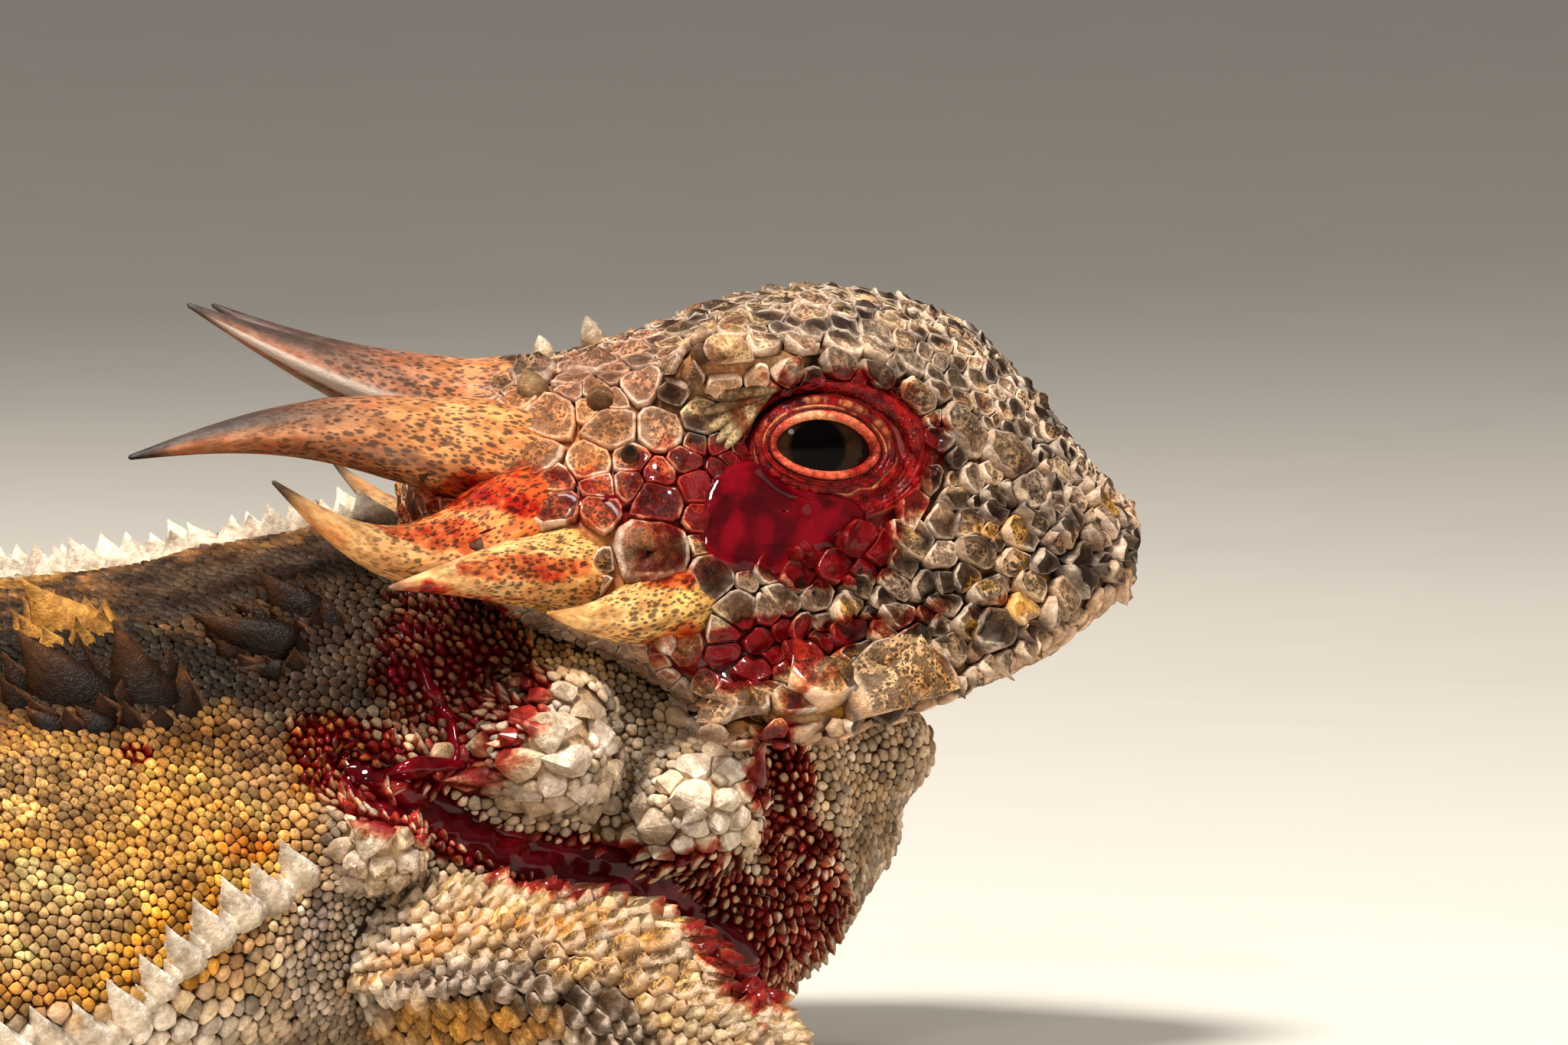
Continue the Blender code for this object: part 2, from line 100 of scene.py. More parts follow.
def srgb(red, green, blue):
    """A colour picked on a screen, as linear light."""
    c = np.array((red, green, blue)) / 255
    return np.where(c <= 0.04045, c / 12.92, ((c + 0.055) / 1.055) ** 2.4)


def mixed(a, b, share):
    """The colour a with a share of the colour b, for each share."""
    share = np.asarray(share)[:, None]
    return a * (1 - share) + b * share


def looked_up(table, value):
    """What a table of pairs gives for each value, in straight pieces."""
    return np.interp(value, *np.array(table).T)


def turns_round(count):
    """The angles that divide a full turn into count steps."""
    return np.arange(count) * 2 * math.pi / count


def flipped(points, side):
    """The points as they are for side 1, and mirrored left to right for side -1."""
    return points * np.array((1, side, 1))


def to_right(points):
    """The points, with those of the left side mirrored onto the right."""
    return np.where(points[:, 1:2] > 0, flipped(points, -1), points)


def relaxed(rows, rounds, after=np.asarray):
    """Rows of points, each drawn towards its neighbours; the first and the last stay."""
    for _ in range(rounds):
        rows[1:-1] = after(0.5 * rows[1:-1] + 0.25 * (rows[2:] + rows[:-2]))
    return rows


def tree_of(points):
    """A tree that finds the nearest of the points."""
    tree = kdtree.KDTree(len(points))
    for number, point in enumerate(points):
        tree.insert(point, number)
    tree.balance()
    return tree


# ---------------------------------------------------------------- noise
LATTICE = rng.random((32, 32, 32))


def noise(points, size, shift=0.0):
    """Smooth noise from 0 to 1 with features of about the given size."""
    g = points / size + shift
    base = np.floor(g)
    f = g - base
    f = f * f * (3 - 2 * f)
    i = base.astype(int)
    total = np.zeros(len(points))
    for corner in range(8):
        step = np.array([(corner >> axis) & 1 for axis in range(3)])
        weight = np.prod(np.where(step, f, 1 - f), axis=1)
        a, b, c = ((i + step) % 32).T
        total += weight * LATTICE[a, b, c]
    return total


# ---------------------------------------------------------------- distance field
class Field:
    """A grid of distances to a surface in millimetres, negative inside."""

    def __init__(self, values, low=FIELD_LOW):
        self.values = values
        self.low = low

    def at(self, points):
        """The distance at each point."""
        limit = np.array(self.values.shape) - 1.001
        g = np.clip((points - self.low) / VOXEL, 0, limit)
        i = g.astype(np.int32)
        f = g - i
        x, y, z = i.T
        fx, fy, fz = f.T
        v = self.values
        low = ((v[x, y, z] * (1 - fx) + v[x + 1, y, z] * fx) * (1 - fy)
               + (v[x, y + 1, z] * (1 - fx) + v[x + 1, y + 1, z] * fx) * fy)
        high = ((v[x, y, z + 1] * (1 - fx) + v[x + 1, y, z + 1] * fx) * (1 - fy)
                + (v[x, y + 1, z + 1] * (1 - fx) + v[x + 1, y + 1, z + 1] * fx) * fy)
        return low * (1 - fz) + high * fz

    def normal(self, points):
        """The way out of the surface at each point."""
        step = 0.7 * VOXEL
        parts = []
        for axis in range(3):
            shift = np.zeros(3)
            shift[axis] = step
            parts.append(self.at(points + shift) - self.at(points - shift))
        return unit(np.stack(parts, axis=1))

    def onto(self, points, height=0.0, rounds=3):
        """The points moved to where the field has the given value."""
        for _ in range(rounds):
            away = (self.at(points) - height)[:, None]
            points = points - self.normal(points) * np.clip(away, -1, 1)
        return points


def polygons(names):
    """The points and triangles of some CAD nodes, in the lizard's millimetres."""
    points, triangles, count = [], [], 0
    for name in names:
        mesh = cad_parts[name].data
        co = np.zeros(len(mesh.vertices) * 3, np.float32)
        mesh.vertices.foreach_get("co", co)
        mesh.calc_loop_triangles()
        tri = np.zeros(len(mesh.loop_triangles) * 3, np.int32)
        mesh.loop_triangles.foreach_get("vertices", tri)
        points.append(co.reshape(-1, 3) / MM - ORIGIN)
        triangles.append(tri.reshape(-1, 3) + count)
        count += len(mesh.vertices)
    joined = np.concatenate(points).astype(np.float32)
    return joined, np.concatenate(triangles).astype(np.uint32), None


def level_set(points, triangles, quads):
    """The distances to a surface, within FIELD_BAND voxels of it."""
    grid = openvdb.createLinearTransform(voxelSize=VOXEL)
    return openvdb.FloatGrid.createLevelSetFromPolygons(
        points, triangles=triangles, quads=quads, transform=grid, halfWidth=FIELD_BAND)


def reshaped(names, offsets):
    """The nodes' field, moved out or in by each offset in turn, as distances."""
    level = level_set(*polygons(names))
    for distance in offsets:
        level = level_set(*level.convertToPolygons(isovalue=distance, adaptivity=0))
    first = np.floor(FIELD_LOW / VOXEL).astype(int)
    shape = np.ceil((FIELD_HIGH - FIELD_LOW) / VOXEL).astype(int)
    values = np.zeros(tuple(shape), np.float32)
    level.copyToArray(values, ijk=tuple(int(n) for n in first))
    return values


def blurred(values, kernel):
    """A field blurred along each axis by the kernel's weights."""
    for axis in range(3):
        reach = len(kernel) // 2
        out = np.zeros_like(values)
        for k, weight in enumerate(kernel):
            out += np.float32(weight) * np.roll(values, k - reach, axis=axis)
        values = out
    return values


def melted(a, b, reach):
    """The union of two fields with a fillet of about the given reach."""
    h = np.clip(0.5 + 0.5 * (b - a) / reach, 0, 1)
    return b + (a - b) * h - reach * h * (1 - h)


# Horns as the solids have them, for the left side: name, foot, tip, bow and half width.
HORNS = (
    ("occipital_inner", (-20.4, 3.3, 21.6), (-31.0, 5.6, 25.3), -0.5, 1.75),
    ("occipital_outer", (-21.0, 7.4, 20.3), (-32.4, 12.2, 20.4), 0.9, 1.75),
    ("temporal_upper", (-20.4, 9.6, 18.1), (-27.5, 16.8, 19.7), -1.5, 1.55),
    ("temporal_middle", (-18.4, 10.0, 16.7), (-23.8, 17.4, 16.4), 0.1, 1.4),
    ("temporal_lower", (-15.2, 10.4, 15.6), (-18.9, 15.2, 15.5), -0.3, 1.25),
)
HORN_TAPER = ((0.0, 1.0), (0.28, 0.82), (0.52, 0.56), (0.76, 0.3), (1.0, 0.05))
SIDES = {"right": -1, "left": 1}
TORSO = ["neck", "trunk", "tail_base", "tail_tip"]
HORN_NODES = [f"horn_{horn[0]}_{side}" for horn in HORNS for side in SIDES]
EYE_NODES = ["eye_right", "eye_left"]
HEAD = ["head", "jaw"]
LIMBS = [f"{part}_{side}" for side in SIDES
         for part in ("upper_arm", "forearm", "hand", "thigh", "shank", "foot")]
CLOSE, SPINE_CUT = 0.3, 1.15
FIELD_LOW = np.floor(FIELD_LOW / VOXEL) * VOXEL

torso_values = reshaped(TORSO, (CLOSE, -CLOSE - SPINE_CUT, SPINE_CUT))
tail_values = reshaped(["tail_tip"], ())
head_values = reshaped(HEAD + EYE_NODES + HORN_NODES, (CLOSE, -CLOSE))
limb_values = reshaped(LIMBS, (CLOSE, -CLOSE))
WIDE_KERNEL = (1 / 16, 4 / 16, 6 / 16, 4 / 16, 1 / 16)
NARROW_KERNEL = (1 / 4, 2 / 4, 1 / 4)
torso_values = blurred(np.minimum(torso_values, tail_values), WIDE_KERNEL)
head_values = blurred(head_values, NARROW_KERNEL)
head, torso, limbs = Field(head_values), Field(torso_values), Field(limb_values)
body_values = melted(head_values, torso_values, 0.9)
body_values = melted(body_values, limb_values, 1.2)

# The line of the closed mouth, from the back: x and z.
MOUTH_LINE = ((-15.0, 13.0), (-10.95, 14.4), (-8.55, 15.3), (-3.75, 16.4), (-0.1, 16.9), (0.4, 17.0))
MOUTH_BACK_X, FACE_BACK_X = -15.0, -18.0
GROOVE_DEPTH, GROOVE_WIDTH = 0.34, 0.3
ORBIT = np.array((-9.9, 9.7, 20.5))
ORBIT_RADII = np.array((3.2, 1.7, 2.35))
NOSTRIL = np.array((-2.5, 3.7, 20.1))
NOSTRIL_RADIUS = 0.5


def mouth_z(x):
    """The height of the mouth at each x."""
    return looked_up(MOUTH_LINE, x)


def from_middle(grid, side, middle, radii=(1, 1, 1)):
    """How many radii the places of a grid lie from a middle, which is given for the left side."""
    axes = zip(grid, flipped(middle, side), radii)
    x, y, z = ((axis - place) / radius for axis, place, radius in axes)
    return np.sqrt(x ** 2 + y ** 2 + z ** 2)


def carve_face(values):
    """Sinks the mouth's groove, orbits and nostrils, and leaves the eyes standing in the orbits."""
    first = int((FACE_BACK_X - FIELD_LOW[0]) / VOXEL)
    x = (FIELD_LOW[0] + VOXEL * np.arange(first, values.shape[0]))[:, None, None]
    y = (FIELD_LOW[1] + VOXEL * np.arange(values.shape[1]))[None, :, None]
    z = (FIELD_LOW[2] + VOXEL * np.arange(values.shape[2]))[None, None, :]
    face = values[first:]
    groove = GROOVE_DEPTH * np.exp(-((z - mouth_z(x)) / GROOVE_WIDTH) ** 2)
    groove = groove * smooth(MOUTH_BACK_X, MOUTH_BACK_X + 1, x)
    face += groove.astype(np.float32)
    for side in SIDES.values():
        bowl = (from_middle((x, y, z), side, ORBIT, ORBIT_RADII) - 1) * ORBIT_RADII[1]
        face[:] = -melted(-face, bowl.astype(np.float32), 0.5)
        ball = from_middle((x, y, z), side, EYE_CENTRE) - EYE_RADIUS + 0.05
        np.minimum(face, ball.astype(np.float32), out=face)
        pit = from_middle((x, y, z), side, NOSTRIL) - NOSTRIL_RADIUS
        np.maximum(face, -pit.astype(np.float32), out=face)


carve_face(body_values)

# Folds and ridges of the skin, the same on both sides: the way of each in the frame as on the
# right side, its half width in pixels and how deep it is; ridges have negative depths.
FOLDS_BACK_X = -36.0
FOLDS = (
    (((640, 885), (700, 925), (790, 950), (832, 1005), (822, 1085)), 11, 0.8),
    (((600, 905), (560, 935), (520, 960)), 10, 0.4),
    (((437, 985), (475, 1030), (540, 1052), (625, 1090), (700, 1122), (800, 1145), (880, 1172), (930, 1225),
      (962, 1300)), 17, 1.1),
    (((985, 940), (1004, 1010), (1010, 1080), (1050, 1150), (1080, 1220)), 10, 0.6),
    (((1060, 980), (1075, 1060), (1100, 1130)), 9, 0.35),
    (((470, 1172), (600, 1166), (740, 1182), (850, 1222), (900, 1290)), 8, 0.3),
    (((500, 1215), (640, 1200), (750, 1222), (830, 1262)), 8, 0.3),
    (((1000, 522), (1050, 497), (1110, 499), (1170, 523), (1218, 562), (1226, 620)), 9, 0.4),
    (((1000, 476), (1060, 455), (1120, 462), (1180, 488), (1235, 522), (1290, 565), (1325, 605)), 15, -0.4),
    (((1232, 590), (1240, 640), (1215, 690)), 10, -0.25),
)
# Lobes of skin: middle and radii in the frame, and how far each stands out.
LOBES = (
    (715, 985, 85, 62, 0.9), (920, 1048, 66, 48, 0.75), (500, 1118, 62, 46, 0.6), (560, 1000, 60, 34, 0.4),
    (1110, 1040, 60, 90, 0.4), (640, 1290, 170, 34, 0.4), (948, 462, 52, 36, 0.5),
)


def frame_places(points):
    """Where the camera sees points, in the frame."""
    away = points - VIEWPOINT
    scale = CAMERA_DISTANCE / -(away @ BACK) / PIXEL
    return np.stack((FRAME_MIDDLE[0] + away[:, 0] * scale, FRAME_MIDDLE[1] - (away @ UP) * scale), axis=1)


def from_line(places, way):
    """The distance of places from a line of straight pieces."""
    knots = np.array(way, float)
    least = np.full(len(places), 1e9)
    for a, b in zip(knots[:-1], knots[1:]):
        run = b - a
        share = np.clip((places - a) @ run / (run @ run), 0, 1)
        least = np.minimum(least, np.linalg.norm(places - a - share[:, None] * run, axis=1))
    return least


def wrinkle(values):
    """Sinks the folds in the skin and raises its ridges and lobes."""
    first = int((FOLDS_BACK_X - FIELD_LOW[0]) / VOXEL)
    part = values[first:]
    near = np.argwhere(np.abs(part) < 3.0)
    points = FIELD_LOW + VOXEL * (near + (first, 0, 0))
    spots = frame_places(to_right(points))
    change = np.zeros(len(points))
    for way, half_width, depth in FOLDS:
        change += depth * np.exp(-(from_line(spots, way) / half_width) ** 2)
    for cx, cy, rx, ry, rise in LOBES:
        change -= rise * smooth(1.2, 0.2, np.hypot((spots[:, 0] - cx) / rx, (spots[:, 1] - cy) / ry))
    change *= smooth(4.5, 6.5, np.abs(points[:, 1]))
    part[tuple(near.T)] += change.astype(np.float32)


wrinkle(body_values)
body = Field(blurred(body_values, (0.15, 0.7, 0.15)))


def traced(points, ways, field=body):
    """The points moved along their ways until they meet the body."""
    for _ in range(90):
        points = points + ways * np.clip(field.at(points), -1, 2)[:, None]
    return points


def seen_at(pixels):
    """The points of the right side that the camera sees at places of the frame."""
    away = (np.atleast_2d(np.asarray(pixels, float)) - FRAME_MIDDLE) * PIXEL
    ray = unit(TARGET + away[:, :1] * np.array((1, 0, 0)) - away[:, 1:] * UP - VIEWPOINT)
    return traced(VIEWPOINT + ray * (CAMERA_DISTANCE - 40), ray)


def grid_quads(rows, columns, closed=True, ring=False):
    """The quads of a grid of points; closed joins the last column to the first, ring the last row."""
    r, k = np.meshgrid(np.arange(rows if ring else rows - 1),
                       np.arange(columns if closed else columns - 1), indexing="ij")
    below, beside = (r + 1) % rows, (k + 1) % columns
    corners = ((r, k), (below, k), (below, beside), (r, beside))
    return np.stack([row * columns + column for row, column in corners], axis=-1).reshape(-1, 4)


def capped(ring, middle):
    """The triangles from a ring of points to one in its middle."""
    return np.stack((ring, np.roll(ring, -1), np.full(len(ring), middle)), axis=1)


# The other way round for the corners of quads and of triangles.
TURNED_QUAD, TURNED_TRIANGLE = (0, 3, 2, 1), (1, 0, 2)


# ---------------------------------------------------------------- mesh making
def make_mesh(name, points, quads=None, triangles=None):
    """An object from points in millimetres and index arrays."""
    mesh = bpy.data.meshes.new(name)
    quads = np.zeros((0, 4), int) if quads is None else np.asarray(quads)
    triangles = np.zeros((0, 3), int) if triangles is None else np.asarray(triangles)
    mesh.vertices.add(len(points))
    mesh.vertices.foreach_set("co", ((points + ORIGIN) * MM).astype(np.float32).ravel())
    corners = np.concatenate((quads.ravel(), triangles.ravel())).astype(np.int32)
    mesh.loops.add(len(corners))
    mesh.loops.foreach_set("vertex_index", corners)
    starts = np.concatenate((np.arange(len(quads)) * 4,
                             len(quads) * 4 + np.arange(len(triangles)) * 3))
    mesh.polygons.add(len(starts))
    mesh.polygons.foreach_set("loop_start", starts.astype(np.int32))
    mesh.update(calc_edges=True)
    mesh.validate()
    mesh.shade_smooth()
    obj = bpy.data.objects.new(name, mesh)
    bpy.context.scene.collection.objects.link(obj)
    return obj


def paint(obj, name, colours):
    """A colour for each vertex."""
    layer = obj.data.color_attributes.new(name, "FLOAT_COLOR", "POINT")
    full = np.ones((len(colours), 4), np.float32)
    full[:, :colours.shape[1]] = colours
    layer.data.foreach_set("color", full.ravel())


def marks(pale, blood, speckle):
    """The markings of each vertex; a single number counts for all of them."""
    return np.stack(np.broadcast_arrays(pale, blood, speckle), axis=1)


def bake_map(obj, places):
    """The map named OFBake, from a place for each vertex."""
    layer = obj.data.uv_layers.new(name="OFBake")
    corners = np.zeros(len(obj.data.loops), np.int32)
    obj.data.loops.foreach_get("vertex_index", corners)
    places = np.clip(places, MAP_EDGE, 1 - MAP_EDGE)
    layer.uv.foreach_set("vector", places[corners].astype(np.float32).ravel())


def finished(obj, material, slot, *replaced):
    """Gives obj its material, puts it on the body and hides the solids that it replaces. The slot argument is
    not used.
    """
    obj.data.materials.append(material)
    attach(obj, "root")
    if replaced:
        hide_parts(*replaced)
    return obj


# ---------------------------------------------------------------- markings
# Wet blood on the right side: x and y in the frame, radii, turn in degrees and strength.
BLOOD = (
    (1088, 590, 150, 112, 0, 1.0),
    (1060, 700, 118, 72, 0, 1.0),
    (945, 650, 60, 80, 0, 0.85),
    (880, 640, 70, 70, 6, 0.6),
    (770, 650, 190, 40, 6, 0.46),
    (640, 640, 120, 22, -8, 0.5),
    (560, 690, 80, 26, 14, 0.36),
    (680, 742, 90, 20, 0, 0.4),
    (880, 740, 60, 30, 0, 0.4),
    (900, 850, 60, 40, 0, 0.35),
    (180, 984, 22, 14, 0, 0.9),
    (985, 850, 90, 46, -20, 0.95),
    (1080, 835, 80, 22, -22, 0.8),
    (1190, 808, 60, 14, -22, 0.45),
    (1060, 900, 50, 16, -40, 0.45),
    (1290, 792, 40, 8, -20, 0.3),
    (600, 880, 130, 100, 35, 0.95),
    (480, 1010, 120, 70, 30, 1.0),
    (640, 1110, 150, 36, 22, 1.0),
    (800, 1130, 170, 34, 8, 1.0),
    (960, 1210, 60, 130, -28, 1.0),
    (1050, 1160, 62, 120, -10, 0.85),
    (1020, 1010, 48, 70, 0, 0.9),
    (600, 990, 70, 60, 0, 0.7),
)


def two_noises(points, first, second, share=0.6):
    """A share of one noise and the rest of a finer one, each with its size and its shift."""
    return noise(points, *first) * share + noise(points, *second) * (1 - share)


def ellipse_share(places, cx, cy, rx, ry, turn):
    """How far out places lie in an ellipse of the frame, from 0 in the middle to 1 at the edge."""
    px, py = places.T
    c, s = math.cos(math.radians(turn)), math.sin(math.radians(turn))
    u = ((px - cx) * c + (py - cy) * s) / rx
    v = ((py - cy) * c - (px - cx) * s) / ry
    return np.hypot(u, v)


def blood_at(points):
    """How much blood lies at each point, from 0 to 1, on the right side only."""
    places = frame_places(points)
    amount = np.zeros(len(points))
    ragged = two_noises(points, (0.55, 3.1), (0.2, 9.4))
    for *ellipse, strength in BLOOD:
        spread = 1 - ellipse_share(places, *ellipse) + (ragged - 0.5) * 0.5
        amount = np.maximum(amount, strength * smooth(-0.12, 0.22, spread))
    return amount * smooth(-1.5, -4.0, points[:, 1])


def kinds_of(points):
    """How far each point belongs to the head and to a limb, from 0 to 1; the rest is torso."""
    to_head, to_torso, to_limb = head.at(points), torso.at(points), limbs.at(points)
    is_head = smooth(0.25, -0.25, to_head - to_torso)
    is_limb = smooth(0.3, -0.3, to_limb - np.minimum(to_head, to_torso))
    return is_head * (1 - is_limb), is_limb


def midline(x):
    """How far the tail sways to the left at each x."""
    return 0.0034 * np.minimum(x + 80, 0) ** 2


# Half the width of head, trunk and tail at each x.
HALF_WIDTHS = ((-136, 0.8), (-112, 4.5), (-94, 9.6), (-85, 17.4), (-75, 25), (-63, 29.2), (-50, 28.6),
               (-37, 24.4), (-30, 19.6), (-25, 14.6), (-17, 10.6), (-8, 4.0))


# Patches of colour on both sides: x and y in the frame, radii, turn, strength, colour, and how
# densely they are speckled.
PATCHES = (
    (640, 620, 190, 120, 0, 0.9, (226, 168, 106), 0.85),
    (700, 560, 170, 60, 0, 0.8, (220, 166, 118), 0.8),
    (800, 720, 150, 50, 0, 0.85, (204, 160, 98), 0.95),
    (800, 480, 120, 50, -15, 0.8, (192, 148, 116), 0.8),
    (848, 724, 46, 38, 0, 0.85, (104, 72, 44), 0.6),
    (883, 815, 50, 40, 0, 0.9, (222, 198, 150), 0.7),
    (840, 650, 130, 60, 0, 0.7, (196, 120, 84), 0.9),
    (945, 790, 60, 50, 0, 0.75, (104, 72, 48), 0.5),
    (1010, 840, 110, 40, -15, 0.85, (66, 42, 32), 0.3),
    (1150, 770, 110, 50, -5, 0.8, (184, 158, 130), 0.9),
    (1330, 700, 110, 90, 20, 0.8, (150, 122, 96), 1.0),
    (1230, 640, 50, 80, 0, 0.75, (168, 140, 110), 0.6),
    (1250, 560, 90, 60, 30, 0.75, (150, 120, 86), 0.9),
    (1455, 690, 34, 60, 0, 0.8, (176, 142, 104), 0.5),
    (1330, 792, 70, 18, -15, 0.9, (222, 186, 112), 0.4),
    (1400, 735, 60, 20, -20, 0.8, (74, 56, 44), 0.6),
    (1100, 895, 200, 50, -12, 0.85, (212, 168, 100), 0.95),
    (1180, 470, 190, 22, 16, 0.5, (206, 190, 168), 0.5),
    (950, 460, 60, 48, 0, 0.9, (206, 172, 130), 0.6),
    (450, 770, 170, 80, -10, 0.95, (54, 36, 23), 0.7),
    (150, 870, 270, 84, 4, 1.0, (32, 20, 12), 0.6),
    (230, 970, 320, 40, 4, 0.85, (124, 78, 34), 0.8),
    (290, 765, 190, 44, -10, 0.95, (62, 42, 28), 0.6),
    (430, 880, 120, 100, 0, 0.95, (58, 38, 24), 0.8),
    (120, 1090, 320, 140, 0, 0.85, (226, 170, 84), 0.5),
    (60, 1040, 130, 60, 0, 0.6, (206, 168, 112), 0.7),
    (50, 1190, 130, 90, 0, 0.6, (230, 200, 146), 0.3),
    (320, 1105, 44, 26, 10, 0.9, (240, 142, 20), 0.1),
    (430, 990, 70, 60, 0, 0.8, (214, 150, 56), 0.7),
    (230, 1230, 160, 60, -35, 0.85, (230, 164, 48), 0.2),
    (600, 870, 120, 110, 0, 0.8, (120, 84, 62), 0.4),
    (460, 1255, 110, 110, 0, 0.85, (222, 206, 186), 0.1),
    (830, 1000, 46, 70, 0, 0.85, (206, 192, 172), 0.4),
    (730, 975, 110, 84, 0, 1.0, (238, 220, 198), 0.3),
    (920, 1050, 76, 76, 0, 1.0, (240, 224, 202), 0.25),
    (500, 1110, 80, 60, 0, 0.95, (240, 220, 194), 0.7),
    (820, 1170, 210, 24, 14, 0.8, (138, 114, 84), 0.8),
    (800, 1240, 230, 60, 8, 0.9, (214, 170, 106), 1.0),
    (560, 1240, 130, 20, -24, 0.9, (206, 144, 48), 0.3),
    (760, 1215, 110, 12, 8, 0.8, (200, 140, 50), 0.4),
    (900, 1225, 40, 90, -30, 0.7, (200, 164, 108), 0.9),
    (640, 1330, 170, 40, -5, 0.95, (224, 160, 62), 0.6),
    (640, 1288, 130, 34, 4, 0.9, (74, 52, 36), 0.6),
    (790, 1335, 80, 44, 30, 0.9, (58, 40, 28), 0.6),
    (1100, 1000, 90, 90, 0, 0.8, (220, 196, 164), 0.0),
)


def patched(points, colour, speckle):
    """The colours and speckles with the patches over them."""
    places = frame_places(to_right(points))
    ragged = two_noises(points, (1.3, 7.7), (0.45, 2.9)) - 0.5
    on_side = smooth(2.0, 5.0, np.abs(points[:, 1]))
    for *ellipse, strength, tone, dots in PATCHES:
        share = strength * on_side * smooth(-0.15, 0.35, 1 - ellipse_share(places, *ellipse) + ragged * 0.6)
        colour = mixed(colour, srgb(*tone), share)
        speckle = speckle * (1 - share) + dots * share
    return colour, speckle


# Rows of large spines on the back: the share of the half width at which each runs, and its rise.
SPINE_ROWS = ((0.42, 1.8), (0.68, 1.7))
SPINE_FRONT_X, SPINE_BACK_X, SPINE_STEP = -39.4, -86.0, 8.4


